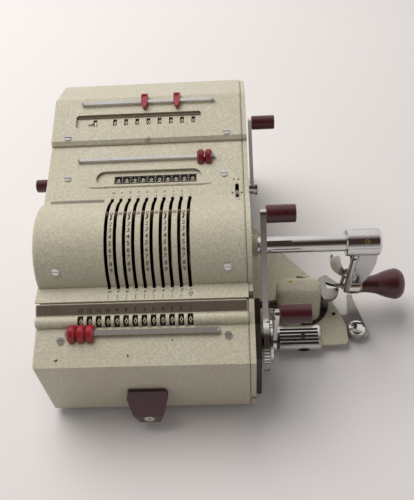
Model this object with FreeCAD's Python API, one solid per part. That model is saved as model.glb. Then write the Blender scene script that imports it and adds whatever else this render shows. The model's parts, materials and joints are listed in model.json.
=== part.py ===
import FreeCAD, Part
import math
import os

# Hand-cranked pinwheel calculator, modelled in millimetres.
# Working frame: X to the right, Y to the back, Z up. X = 0 is the middle of the case,
# Y = 0 is the front face of the carriage and Z = 0 is the lower edge of the covers.
# Every piece is moved to the part's own origin only when it is written out.

V = FreeCAD.Vector

# Case covers
case_width = 180.0
sheet = 1.5
flange_depth = 12.0
edge_round = 2.4
touch_gap = 0.3
run_gap = 0.06

# Rotor and the hump of the setting cover
axis_y = 108.0
axis_z = 93.0
hump_r = 43.3
hump_blend = 8.0
ledge_z = 98.0
ledge_y = 50.5
ledge_lip = 4.0
bulkhead_y = 56.0

# Setting panel, counter panel and the slope behind the crest
seam_y = 202.0
panel_seam_z = 132.4
panel_rise = 8.2
lip_z = 137.3
lip_back = 2.5
top_rise = 11.8
crest_y = 252.2
rear_y = 292.6
rear_fall = 21.6
rear_sheet = 2.0

# Base plate, wing and feet
plate = 3.0
tongue_inset = 6.0
tongue_y = 14.0
wing_reach = 94.0
wing_front_y = 57.5
wing_back = 14.0
wing_bend_y = 76.0
wing_sweep = 58.0
wing_corner = 5.0
foot_h = 8.0
foot_r = 8.0
foot_inset = 18.0
foot_rear = 18.6
foot_front_y = 25.0

# Side frames and the outer side plate
frame_thick = 2.5
side_plate_thick = 4.0
side_plate_inset = 0.6
rod_r = 3.0
tie_rod_heights = (22.0, 60.0, 90.0)

# Setting levers and pinwheels
digits_set = 10
pitch = 7.7
unit_x = 41.5
tip_r = 45.0
slot_r = 45.9
slot_width = 3.0
tip_thick = 2.2
lever_thick = 1.6
lever_ring_r = 30.0
lever_arm_width = 4.6
tip_length = 6.0
cam_r = 23.0
cam_width = 3.0
drum_r = 13.0
wheel_r = 36.0
wheel_thick = 3.0
wheel_offset = 1.1
wheel_pins = 9
pin_height = 0.6
pin_width = 2.0
pin_length = 14.0
pin_start = 96.0
pin_step = 9.2
zero_angle = 82.5
shaft_r = 5.0

# Counter window and dials
counter_dials_count = 8
counter_pitch = 10.69
counter_unit_x = 44.1
counter_y = 225.8
counter_window_left = -67.5
counter_window_right = 51.7
counter_window_half = 7.6
counter_window_round = 3.0
counter_aperture = 7.2
counter_extra_x = -49.6
counter_dial_r = 9.0
counter_dial_width = 7.0
counter_button_x = -54.4
counter_button_r = 2.4
counter_button_h = 1.6
mask_depth = 3.0
mask_thick = 0.8
mask_wall = 1.0
dial_shaft_r = 2.0

# Check window and dials
check_pitch = 7.54
check_unit_x = 43.4
check_y = 164.6
check_window_left = -44.4
check_window_right = 51.7
check_window_half = 8.0
check_aperture_length = 6.0
check_aperture_width = 4.4
check_dial_r = 6.6
check_dial_width = 5.2
check_sleeve_r = 3.6

# Carriage
carriage_back = 49.2
carriage_top_z = 97.0
apron_y = 3.0
apron_z = 77.5
apron_rise = 15.0
bead_front_y = 32.4
bead_back_y = 39.9
bead_back_z = 91.3
bead_height = 3.2
result_count = 13
result_pitch = 7.68
result_unit_x = 41.4
result_dial_r = 9.6
result_dial_width = 5.6
result_window_width = 4.9
result_window_length = 10.0
result_window_round = 0.9
end_plate = 4.5
slider_z = 8.0
slider_front_y = 18.0
slider_back_y = 44.0
guide_width = 5.0
lever_plate_thick = 5.0
lever_plate_inset = 6.0
latch_z = 10.0
latch_height = 6.0
latch_depth = 4.5

# Rails and the sliding markers on them
rail_thick = 1.2
rail_lift = 2.0
counter_rail_y = 244.5
setting_rail_y = 184.0
carriage_rail_y = 27.2
rail_left = -63.0
rail_right = 64.5
counter_rail_width = 3.0
carriage_rail_left = -64.4
carriage_rail_right = 66.0
carriage_rail_width = 4.5
marker_slack = 0.12
pointer_xs = (-2.2, 28.8)
disc_xs = (51.1, 58.3)
tab_xs = (-57.8, -50.2, -42.6)
pointer_width = 6.4
pointer_tail = 7.5
pointer_shoulder = 2.5
pointer_reach = 8.0
pointer_nose = 0.8
disc_width = 6.4
tab_width = 7.0
disc_r = 7.6
tab_r = 8.0
marker_bevel = 1.6
post_r = 1.3
post_inset = 1.5

# Clearing levers
clear_y = 41.0
clear_z = 41.0
clear_shaft_r = 4.0
lever_spacer_wall = 3.0
lever_spacer = 0.7
stud_r = 2.4
grip_wall = 3.0
grip_round = 1.0
long_wheel_r = 26.5
long_gap = 7.5
long_teeth = 52
long_tooth_depth = 2.2
long_root_r = 9.0
long_rim_end = 118.0
long_thick = 5.0
long_angle = 53.0
long_length = 115.0
long_grip_r = 7.8
long_grip_length = 25.0
short_thick = 3.4
short_disc_thick = 2.0
short_lean = 2.4
short_tail = 9.0
short_disc_r = 19.0
short_length = 39.0
short_angle = 85.0
short_grip_r = 8.5
short_grip_length = 27.0
counter_lever_y = 162.0
counter_lever_z = 110.0
counter_hub_length = 1.6
counter_pivot_r = 2.5
counter_root_r = 5.6
counter_head_r = 6.5
counter_head_h = 2.9
counter_lever_thick = 3.2
counter_lever_length = 65.0
counter_lever_angle = 23.4
counter_grip_r = 6.5
counter_grip_length = 21.5
lever_width = 8.5

# Crank
tube_r = 7.5
tube_reach = 89.0
collar_r = 9.5
collar_length = 6.0
hub_r = 12.0
hub_overlap = 2.0
hub_length = 30.5
hub_round = 2.5
crank_throw = 66.0
arm_thick = 9.0
web_inset = 4.0
web_sweep = 2.6
sleeve_r = 3.2
boss_r = 8.5
boss_inset = 9.0
boss_length = 10.5
ferrule_r = 7.3
ferrule_length = 3.0
handle_length = 40.0
handle_r = 14.8
handle_neck_r = 7.6
handle_neck = 15.0
handle_waist_r = 9.8
handle_nose = 9.5
handle_wall = 5.0
spindle_r = 3.0
lock_pin_r = 2.4
lock_pin_reach = 11.4
lock_nose = 1.5
lock_collar = 1.4
lock_travel = 3.7
thumb_offset = 4.5
thumb_pivot_drop = 47.0
thumb_axle_r = 1.2
thumb_hub = 6.4
thumb_width = 8.2
thumb_length = 30.0
thumb_thick = 3.6
thumb_room = 3.0
ear_thick = 1.0
ear_half = 3.0

# Tower, catch, cross shaft, shift key and transfer lever on the wing
tower_gap = 25.0
tower_width = 45.0
tower_flare = 2.5
tower_corner = 9.0
tower_dome = 5.0
tower_lean = 0.2
tower_disc_r = 30.2
tower_disc_thick = 1.2
tower_front_y = 83.0
tower_back_y = 111.0
tower_top_z = 40.0
cross_shaft_y = 93.0
cross_shaft_z = 20.0
cross_shaft_r = 3.8
catch_thick = 4.0
catch_gap = 0.6
key_y = 63.6
key_length = 41.0
key_depth = 23.6
key_top_z = 8.4
key_thick = 4.2
key_ribs = 5
key_disc_r = 13.2
key_disc_offset = 3.8
key_pin_r = 2.4
key_border = 2.4
key_groove = 0.32
key_groove_depth = 2.6
transfer_pivot_y = 91.0
transfer_thick = 2.4
transfer_pin_r = 2.0
transfer_inset = 10.4
transfer_eye = 6.0
transfer_button_h = 6.3
transfer_button_y = 72.5
transfer_button_r = 8.8

# Small parts
screw_head_r = 3.4
screw_head_h = 1.1
screw_slot = 0.9
screw_shank_r = 1.4
screw_shank_length = 5.0
knob_y = 184.0
knob_z = 100.0
knob_r = 6.2
knob_length = 19.0
knob_travel = 3.0
direction_inset = 6.6
direction_y = 146.0
direction_slot_half = 8.0
direction_slot_width = 3.4
direction_thick = 2.2
direction_height = 3.0
direction_travel = 7.0
grip_top_z = 36.0
grip_bottom_z = 3.0
grip_reach = 16.5
grip_top_half = 18.0
grip_bottom_half = 9.0
grip_shoulder = 6.0
grip_front_h = 11.5
grip_pivot_r = 1.5

# Places along X, outwards from the covers
half = case_width / 2.0
frame_out = half - sheet
frame_in = frame_out - frame_thick
tongue_half = half - tongue_inset
foot_x = half - foot_inset
direction_x = half - direction_inset
knob_end_x = -half - knob_length
side_plate_x = half + side_plate_thick
end_plate_x = half + end_plate
lever_plate_x = end_plate_x + lever_plate_thick
long_x = end_plate_x + long_gap
short_hub_x = long_x + long_thick + lever_spacer + 2 * touch_gap
short_x = short_hub_x + short_disc_thick
short_hub_end_x = short_x + short_thick
counter_lever_x = side_plate_x + counter_hub_length
counter_hub_x = counter_lever_x + counter_lever_thick
collar_end_x = side_plate_x + collar_length
tube_end_x = half + tube_reach
hub_start_x = tube_end_x - hub_overlap
hub_end_x = hub_start_x + hub_length
boss_start_x = hub_start_x + boss_inset
boss_end_x = boss_start_x + boss_length
handle_start_x = boss_end_x + ferrule_length
handle_end_x = handle_start_x + handle_length
lock_pin_tip_x = boss_start_x - lock_pin_reach
thumb_pivot_x = boss_start_x - thumb_offset
wing_x = half + wing_reach
tower_left = half + tower_gap
tower_right = tower_left + tower_width
tower_disc_x = (tower_left + tower_flare + tower_right) / 2.0 + 1.0
key_x = (tower_left + tower_right) / 2.0
key_pivot_x = key_x + key_disc_offset
transfer_pivot_x = wing_x - transfer_inset
transfer_button_x = wing_x + transfer_button_r + touch_gap

# Other places
handle_z = axis_z - crank_throw
rest_z = -foot_h
wing_back_y = seam_y + wing_back
foot_rear_y = rear_y - foot_rear
disc_top_z = plate + tower_disc_thick
tower_foot_z = disc_top_z
tower_disc_y = tower_back_y - tower_dome
key_bottom_z = key_top_z - key_thick
grip_pivot_z = grip_top_z - grip_pivot_r
grip_pivot_y = -touch_gap - grip_pivot_r
tie_rods = tuple(zip((bulkhead_y + 19.0, seam_y + 3.0, rear_y - 20.6), tie_rod_heights))
panel_screws = ((19.4 - half, 165.7), (half - 18.0, 164.9))
top_screws = ((16.3 - half, seam_y + 6.0), (half - 14.7, seam_y + 6.0))
hump_screw_xs = (19.0 - half, half - 16.5)
hump_screw_angle = 150.3
carriage_screw_places = ((22.5 - half, 21.8), (half - 17.6, 23.4))


def tan(angle):
    return math.tan(math.radians(angle))


def sin(angle):
    return math.sin(math.radians(angle))


def cos(angle):
    return math.cos(math.radians(angle))


# Surface heights of the sloping panels
def panel_z(y):
    return panel_seam_z + (y - seam_y) * tan(panel_rise)


def top_z(y):
    return lip_z + (y - seam_y - 1.0) * tan(top_rise)


def apron_height(y):
    return apron_z + (y - apron_y) * tan(apron_rise)


crest_z = top_z(crest_y)
rear_top_z = crest_z - (rear_y - crest_y) * tan(rear_fall)
bead_front_z = apron_height(bead_front_y)
bead_tilt = math.degrees(math.atan2(bead_back_z - bead_front_z, bead_back_y - bead_front_y))
bead_mid_y = (bead_front_y + bead_back_y) / 2.0
bead_mid_z = (bead_front_z + bead_back_z) / 2.0
dial_drop = result_dial_r - touch_gap
result_y = bead_mid_y + dial_drop * sin(bead_tilt)
result_z = bead_mid_z - dial_drop * cos(bead_tilt)


# Solids from outlines. A point is (a, b), or (ma, mb, a, b) for an arc through (ma, mb).
def wire(points, at):
    edges = []
    here = at(*points[0][-2:])
    for point in points[1:] + points[:1]:
        there = at(*point[-2:])
        if len(point) == 4:
            edges.append(Part.Arc(here, at(*point[:2]), there).toShape())
        elif there.distanceToPoint(here) > 1e-6:
            edges.append(Part.makeLine(here, there))
        here = there
    return Part.Wire(edges)


def slab_x(points, x0, x1):
    outline = wire(points, lambda y, z: V(x0, y, z))
    return Part.Face(outline).extrude(V(x1 - x0, 0, 0))


def slab_y(points, y0, y1):
    outline = wire(points, lambda x, z: V(x, y0, z))
    return Part.Face(outline).extrude(V(0, y1 - y0, 0))


def slab_z(points, z0, z1):
    outline = wire(points, lambda x, y: V(x, y, z0))
    return Part.Face(outline).extrude(V(0, 0, z1 - z0))


def box(x0, x1, y0, y1, z0, z1):
    return Part.makeBox(x1 - x0, y1 - y0, z1 - z0, V(x0, y0, z0))


def rod_x(x0, x1, y, z, r):
    return Part.makeCylinder(r, x1 - x0, V(x0, y, z), V(1, 0, 0))


def rod_z(x, y, z0, z1, r):
    return Part.makeCylinder(r, z1 - z0, V(x, y, z0))


def ring_x(x0, x1, y, z, r, bore):
    return rod_x(x0, x1, y, z, r).cut(rod_x(x0 - 1, x1 + 1, y, z, bore))


def turned_x(profile, y, z):
    """Solid of revolution about an axis along X, from an outline of (x, radius) points."""
    outline = wire(profile, lambda x, r: V(x, y, z + r))
    return Part.Face(outline).revolve(V(0, y, z), V(1, 0, 0), 360)


def rounded(x0, x1, y0, y1, r):
    """Outline of a rectangle with quarter-circle corners."""
    c = r * (1 - math.sqrt(0.5))
    return [
        (x0, y0 + r), (x0 + c, y0 + c, x0 + r, y0),
        (x1 - r, y0), (x1 - c, y0 + c, x1, y0 + r),
        (x1, y1 - r), (x1 - c, y1 - c, x1 - r, y1),
        (x0 + r, y1), (x0 + c, y1 - c, x0, y1 - r)]


def link_x(x0, x1, start, end, start_r, end_r):
    """Flat tapered link between two round ends, each a (y, z) place."""
    dy = end[0] - start[0]
    dz = end[1] - start[1]
    length = math.hypot(dy, dz)
    ny = -dz / length
    nz = dy / length
    web = slab_x([
        (start[0] + ny * start_r, start[1] + nz * start_r), (end[0] + ny * end_r, end[1] + nz * end_r),
        (end[0] - ny * end_r, end[1] - nz * end_r),
        (start[0] - ny * start_r, start[1] - nz * start_r)], x0, x1)
    return fuse([web, rod_x(x0, x1, start[0], start[1], start_r), rod_x(x0, x1, end[0], end[1], end_r)])


def fuse(shapes):
    whole = shapes[0]
    for shape in shapes[1:]:
        whole = whole.fuse(shape)
    return whole.removeSplitter()


def cut_all(body, tools):
    for tool in tools:
        body = body.cut(tool)
    return body


def seat(shape, x, y, z, tilt):
    """Tilt a shape about X, so that its own Z becomes the normal of a panel, and set it at a point."""
    moved = shape.copy()
    moved.rotate(V(0, 0, 0), V(1, 0, 0), tilt)
    moved.translate(V(x, y, z))
    return moved


def on_panel(shape, x, y):
    return seat(shape, x, y, panel_z(y), panel_rise)


def on_top(shape, x, y):
    return seat(shape, x, y, top_z(y), top_rise)


def on_apron(shape, x, y):
    return seat(shape, x, y, apron_height(y), apron_rise)


def on_hump(shape, x, angle):
    return seat(shape, x, axis_y + hump_r * cos(angle), axis_z + hump_r * sin(angle), angle - 90)


# Side outlines of the covers, from front to back, with the skin moved inwards by inset
def inward(points, inset):
    """Corners of an open outline moved to its right-hand side by inset."""
    moved = []
    last = len(points) - 1
    for i, (y, z) in enumerate(points):
        normals = []
        for a, b in ((i - 1, i), (i, i + 1)):
            if a >= 0 and b <= last:
                dy = points[b][0] - points[a][0]
                dz = points[b][1] - points[a][1]
                size = math.hypot(dy, dz)
                normals.append((-dz / size, dy / size))
        ny = sum(n[0] for n in normals)
        nz = sum(n[1] for n in normals)
        turn = (ny * ny + nz * nz) / len(normals)
        moved.append((y - inset * ny / turn, z - inset * nz / turn))
    return moved


def hump_outline(inset, low_z):
    """Front foot of the hump, over its top, and down the blend to the start of the setting panel."""
    along = (cos(panel_rise), sin(panel_rise))
    drop = -(axis_y - seam_y) * along[1] + (axis_z - panel_seam_z) * along[0]
    foot = (axis_y - seam_y) * along[0] + (axis_z - panel_seam_z) * along[1]
    reach = foot + math.sqrt((hump_r + hump_blend) ** 2 - (hump_blend - drop) ** 2)
    cy = seam_y + reach * along[0] - hump_blend * along[1]
    cz = panel_seam_z + reach * along[1] + hump_blend * along[0]
    r = hump_r - inset
    blend = hump_blend + inset
    leave = math.degrees(math.atan2(cz - axis_z, cy - axis_y))
    start = 180 - math.degrees(math.asin((low_z - axis_z) / r))
    middle = (start + leave) / 2.0
    join = 270 + panel_rise
    bend = (180 + leave + join) / 2.0
    return [
        (axis_y + r * cos(start), low_z),
        (axis_y + r * cos(middle), axis_z + r * sin(middle),
         axis_y + r * cos(leave), axis_z + r * sin(leave)),
        (cy + blend * cos(bend), cz + blend * sin(bend), cy + blend * cos(join), cz + blend * sin(join))]


def setting_outline(inset, low_z, back_y):
    return hump_outline(inset, low_z) + [(back_y, panel_z(back_y) - inset / cos(panel_rise))]


def top_outline(inset):
    return inward([
        (seam_y, panel_z(seam_y) - flange_depth / 2), (seam_y, top_z(seam_y) - lip_back),
        (seam_y + lip_back, top_z(seam_y + lip_back)), (crest_y, crest_z),
        (rear_y, rear_top_z), (rear_y, rear_top_z - flange_depth)], inset)


carriage_corners = [
    (0.0, 0.0), (0.0, apron_height(0.0)), (bead_front_y, bead_front_z), (bead_back_y, bead_back_z),
    (carriage_back, carriage_top_z), (carriage_back, carriage_top_z - flange_depth)]


def shell(skin, closing, hollow):
    """A pressed cover: its skin rounded along both side edges, and hollow below."""
    body = slab_x(skin + closing, -half, half)
    corners = [point[-2:] for point in skin]
    rims = []
    for edge in body.Edges:
        ends = [vertex.Point for vertex in edge.Vertexes]
        across = abs(ends[0].x - ends[-1].x) > 1e-6
        on_skin = all(any(math.hypot(p.y - y, p.z - z) < 1e-6 for y, z in corners) for p in ends)
        if on_skin and not across:
            rims.append(edge)
    body = body.makeFillet(edge_round, rims)
    return body.cut(slab_x(hollow, -frame_out, frame_out))


def lever_x(index):
    return unit_x - index * pitch


# Covers
def setting_cover():
    back_y = seam_y - touch_gap
    skin = setting_outline(0.0, ledge_z, back_y)
    closing = [
        (back_y, panel_z(back_y) - flange_depth), (axis_y + hump_r - flange_depth, axis_z + tube_r * 2),
        (axis_y, axis_z + tube_r * 1.5)]
    hollow = setting_outline(sheet, ledge_z, back_y + 1) + [(back_y + 1, 0.0), (axis_y - hump_r + sheet, 0.0)]
    cover = shell(skin, closing, hollow)
    slots = []
    for i in range(digits_set):
        x = lever_x(i)
        slots.append(rod_x(x - slot_width / 2, x + slot_width / 2, axis_y, axis_z, slot_r))
    window = slab_z(rounded(
        check_window_left, check_window_right, -check_window_half, check_window_half,
        check_window_half - 0.01), -flange_depth, flange_depth)
    slot = slab_z(rounded(
        -direction_slot_width / 2, direction_slot_width / 2, -direction_slot_half, direction_slot_half,
        direction_slot_width / 2 - 0.01), -flange_depth, flange_depth)
    holes = [on_panel(window, 0, check_y), on_panel(slot, direction_x, direction_y)]
    holes += [on_panel(screw_hole(), x, y) for x, y in panel_screws]
    holes += [on_hump(screw_hole(), x, hump_screw_angle) for x in hump_screw_xs]
    return cut_all(cover, slots + holes)


def counter_cover():
    skin = top_outline(0.0)
    closing = [
        (rear_y - flange_depth, rear_top_z - flange_depth), (crest_y, crest_z - flange_depth),
        (seam_y + flange_depth, panel_z(seam_y) - flange_depth / 2)]
    hollow = top_outline(sheet)
    hollow = [(hollow[0][0], 0.0)] + hollow[1:-1] + [(hollow[-1][0], 0.0)]
    cover = shell(skin, closing, hollow)
    window = slab_z(rounded(
        counter_window_left, counter_window_right, -counter_window_half, counter_window_half,
        counter_window_round), -flange_depth, flange_depth)
    holes = [on_top(screw_hole(), x, y) for x, y in top_screws]
    return cut_all(cover, [on_top(window, 0, counter_y)] + holes)


def index_strip():
    """Bent sheet in front of the hump: the ledge on top with its lip, and the bulkhead below it."""
    top = ledge_z - touch_gap
    back = axis_y - hump_r + sheet
    strip = slab_x([
        (bulkhead_y, plate), (bulkhead_y + sheet, plate), (bulkhead_y + sheet, top - sheet),
        (back, top - sheet), (back, top), (ledge_y, top), (ledge_y, top - ledge_lip),
        (ledge_y + sheet, top - ledge_lip), (ledge_y + sheet, top - sheet), (bulkhead_y, top - sheet)],
        -frame_in, frame_in)
    ears = [
        box(-half, -frame_in, ledge_y, back, top - sheet, top),
        box(frame_in, half, ledge_y, back, top - sheet, top)]
    strip = fuse([strip] + ears)
    slots = []
    for i in range(digits_set):
        x = lever_x(i)
        slots.append(rod_x(x - slot_width / 2, x + slot_width / 2, axis_y, axis_z, slot_r))
        slots.append(box(
            x - slot_width / 2, x + slot_width / 2, bulkhead_y - 1, bulkhead_y + sheet + 1,
            result_z - result_dial_r, result_z + result_dial_r))
    return cut_all(strip, slots)


# Frame of the machine
def frame_outline(inset, floor):
    """Side outline of the machine behind the carriage, inside its covers by inset."""
    front = bulkhead_y + sheet
    skin = setting_outline(inset, ledge_z - touch_gap - sheet, seam_y + inset)
    back = rear_y - inset - rear_sheet
    back_z = crest_z - (back - crest_y) * tan(rear_fall) - inset / cos(rear_fall)
    return [(front, floor), (front, ledge_z - touch_gap - sheet)] + skin + top_outline(inset)[1:4] + [
        (back, back_z), (back, floor)]


def side_frame(x0, x1, knob_hole):
    """Side frame with its shaft bores, notched for the lip of the counter cover."""
    panel = slab_x(frame_outline(sheet, plate), x0, x1)
    lip_low = panel_z(seam_y) - flange_depth / 2 - touch_gap
    bores = [
        box(x0 - 1, x1 + 1, seam_y - touch_gap, seam_y + sheet + touch_gap, lip_low, crest_z),
        rod_x(x0 - 1, x1 + 1, axis_y, axis_z, shaft_r + run_gap),
        rod_x(x0 - 1, x1 + 1, counter_axis_y, counter_axis_z, dial_shaft_r + run_gap)]
    if knob_hole:
        bores.append(rod_x(x0 - 1, x1 + 1, knob_y, knob_z, knob_r / 2 + run_gap))
    return cut_all(panel, bores)


def side_plate():
    """Outer plate on the crank side, with the boss that carries the crank tube."""
    body = slab_x(frame_outline(side_plate_inset, plate + touch_gap), half, side_plate_x)
    boss = rod_x(half - sheet, collar_end_x, axis_y, axis_z, collar_r)
    bores = [
        rod_x(half - sheet - 1, collar_end_x + 1, axis_y, axis_z, tube_r + run_gap),
        rod_x(half - 1, side_plate_x + 1, counter_lever_y, counter_lever_z, counter_pivot_r)]
    return cut_all(fuse([body, boss]), bores)


def base_plate():
    """Floor plate of the case, the tongue under the carriage, and the wing that carries the tower."""
    corner = wing_corner * (1 - math.sqrt(0.5))
    bend_mid = (wing_x - wing_sweep * 0.16, wing_bend_y + wing_sweep * 0.46)
    outline = [
        (-tongue_half, tongue_y), (tongue_half, tongue_y), (tongue_half, wing_front_y),
        (wing_x - wing_corner, wing_front_y),
        (wing_x - corner, wing_front_y + corner, wing_x, wing_front_y + wing_corner),
        (wing_x, wing_bend_y), bend_mid + (wing_x - wing_sweep * 0.48, wing_bend_y + wing_sweep),
        (half, wing_back_y), (half, rear_y - sheet), (-half, rear_y - sheet), (-half, ledge_y),
        (-tongue_half, ledge_y)]
    body = slab_z(outline, 0.0, plate)
    holes = [rod_z(transfer_pivot_x, transfer_pivot_y, -1, plate + 1, transfer_pin_r + run_gap)]
    return cut_all(body, holes)


def rear_panel():
    back = rear_y - sheet
    skin_z = rear_top_z + sheet * tan(rear_fall) - sheet / cos(rear_fall)
    return box(-frame_out, frame_out, back - rear_sheet, back, plate, skin_z)


def feet():
    shapes = []
    for x in (-foot_x, foot_x):
        for y in (foot_front_y, foot_rear_y):
            shapes.append(Part.makeCone(foot_r - 1.5, foot_r, foot_h, V(x, y, rest_z)))
    return shapes


def cross_rods():
    """Tie rods between the side frames, the fixed check dial shaft and the shaft into the tower."""
    shapes = [rod_x(-frame_in, frame_in, y, z, rod_r) for y, z in tie_rods]
    shapes.append(rod_x(-frame_in, frame_in, check_axis_y, check_axis_z, dial_shaft_r))
    shapes.append(rod_x(
        side_plate_x, tower_left + tower_flare + touch_gap, cross_shaft_y, cross_shaft_z, cross_shaft_r))
    return shapes


# Screws
def screw():
    """Slotted cheese-head screw with its seat at Z = 0."""
    head = Part.makeCylinder(screw_head_r, screw_head_h, V(0, 0, 0))
    rim = [edge for edge in head.Edges if edge.Closed and edge.CenterOfMass.z > screw_head_h / 2]
    head = head.makeFillet(screw_head_h * 0.4, rim)
    shank = Part.makeCylinder(screw_shank_r, screw_shank_length, V(0, 0, -screw_shank_length))
    slot = box(
        -screw_head_r, screw_head_r, -screw_slot / 2, screw_slot / 2, screw_head_h / 2, screw_head_h + 1)
    return fuse([head, shank]).cut(slot)


def screw_hole():
    return Part.makeCylinder(
        screw_shank_r + touch_gap / 3, screw_shank_length + 2, V(0, 0, -screw_shank_length))


def case_screws():
    one = screw()
    shapes = [on_panel(one, x, y) for x, y in panel_screws]
    shapes += [on_top(one, x, y) for x, y in top_screws]
    shapes += [on_hump(one, x, hump_screw_angle) for x in hump_screw_xs]
    head_x = counter_hub_x + touch_gap
    pivot_head = rod_x(head_x, head_x + counter_head_h, counter_lever_y, counter_lever_z, counter_head_r)
    pivot = rod_x(half, head_x, counter_lever_y, counter_lever_z, counter_pivot_r)
    shapes.append(fuse([pivot_head, pivot]))
    return shapes


# Register masks: trays under the windows, with an aperture over each dial
def mask_tray(left, right, half_depth, apertures, aperture_half, aperture_width):
    lip = mask_wall
    tray = box(left - 2 * lip, right + 2 * lip, -half_depth - 2 * lip, half_depth + 2 * lip,
               -mask_depth - mask_thick, -sheet)
    hollow = box(left - lip, right + lip, -half_depth - lip, half_depth + lip, -mask_depth, 0)
    tray = tray.cut(hollow)
    for x in apertures:
        tray = tray.cut(box(
            x - aperture_width / 2, x + aperture_width / 2, -aperture_half, aperture_half,
            -mask_depth - 2 * mask_thick, 0))
    return tray


def register_masks():
    counters = [counter_unit_x - i * counter_pitch for i in range(counter_dials_count)] + [counter_extra_x]
    counter = mask_tray(
        counter_window_left, counter_window_right, counter_window_half, counters,
        counter_aperture / 2, counter_aperture / 2)
    button = Part.makeCylinder(counter_button_r, counter_button_h, V(counter_button_x, 0, -mask_depth))
    counter = fuse([counter, button])
    checks = [check_unit_x - i * check_pitch for i in range(digits_set)]
    check = mask_tray(
        check_window_left, check_window_right, check_window_half, checks,
        check_aperture_length / 2, check_aperture_width)
    return [on_top(counter, 0, counter_y), on_panel(check, 0, check_y)]


def number_wheels(xs, width, y, z, r):
    return [rod_x(x - width / 2, x + width / 2, y, z, r) for x in xs]


# Rails: flat bars on two posts, in the frame of their panel
def rail(width, left, right):
    outline = rounded(left, right, -width / 2, width / 2, width / 2 - 0.01)
    bar = slab_z(outline, rail_lift, rail_lift + rail_thick)
    posts = []
    for x in (left + post_inset, right - post_inset):
        posts.append(Part.makeCylinder(post_r, rail_lift, V(x, 0, 0)))
        posts.append(Part.makeSphere(post_r * 0.9, V(x, 0, rail_lift + rail_thick), V(0, 0, 1), 0, 90, 360))
    return fuse([bar] + posts)


def channel(width, length):
    """Hole in a marker for the rail that it slides on."""
    gap = marker_slack
    side = width / 2 + gap
    return box(-length, length, -side, side, rail_lift - gap, rail_lift + rail_thick + gap)


def pointer():
    """Pointed decimal marker with a dished finger grip, its tip towards the window."""
    w = pointer_width / 2
    top = rail_lift + rail_thick
    body = slab_z([
        (-w, pointer_tail), (-w, -pointer_shoulder), (-pointer_nose, -pointer_reach),
        (pointer_nose, -pointer_reach), (w, -pointer_shoulder), (w, pointer_tail)],
        touch_gap, top + marker_bevel)
    dish = box(-w * 0.6, w * 0.6, pointer_tail * 0.39, pointer_tail * 0.85, top + 0.5, top + 2 * marker_bevel)
    return cut_all(body, [dish, channel(counter_rail_width, pointer_width)])


def half_disc(width, r, rail_width):
    """Bevelled half-round marker that straddles a rail."""
    low = touch_gap
    bevel = marker_bevel
    outline = [(-width / 2, 0.0), (-width / 2, r - bevel), (-width / 2 + bevel, r), (width / 2 - bevel, r),
               (width / 2, r - bevel), (width / 2, 0.0)]
    body = turned_x(outline, 0.0, 0.0)
    body = body.common(box(-width, width, -2 * r, 2 * r, low, 2 * r))
    return body.cut(channel(rail_width, width))


# Crank and rotor
def crank_tube():
    return turned_x([
        (-frame_out, 0.0), (-frame_out, shaft_r), (half - sheet, shaft_r), (half - sheet, tube_r),
        (tube_end_x, tube_r), (tube_end_x, 0.0)], axis_y, axis_z)


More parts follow.
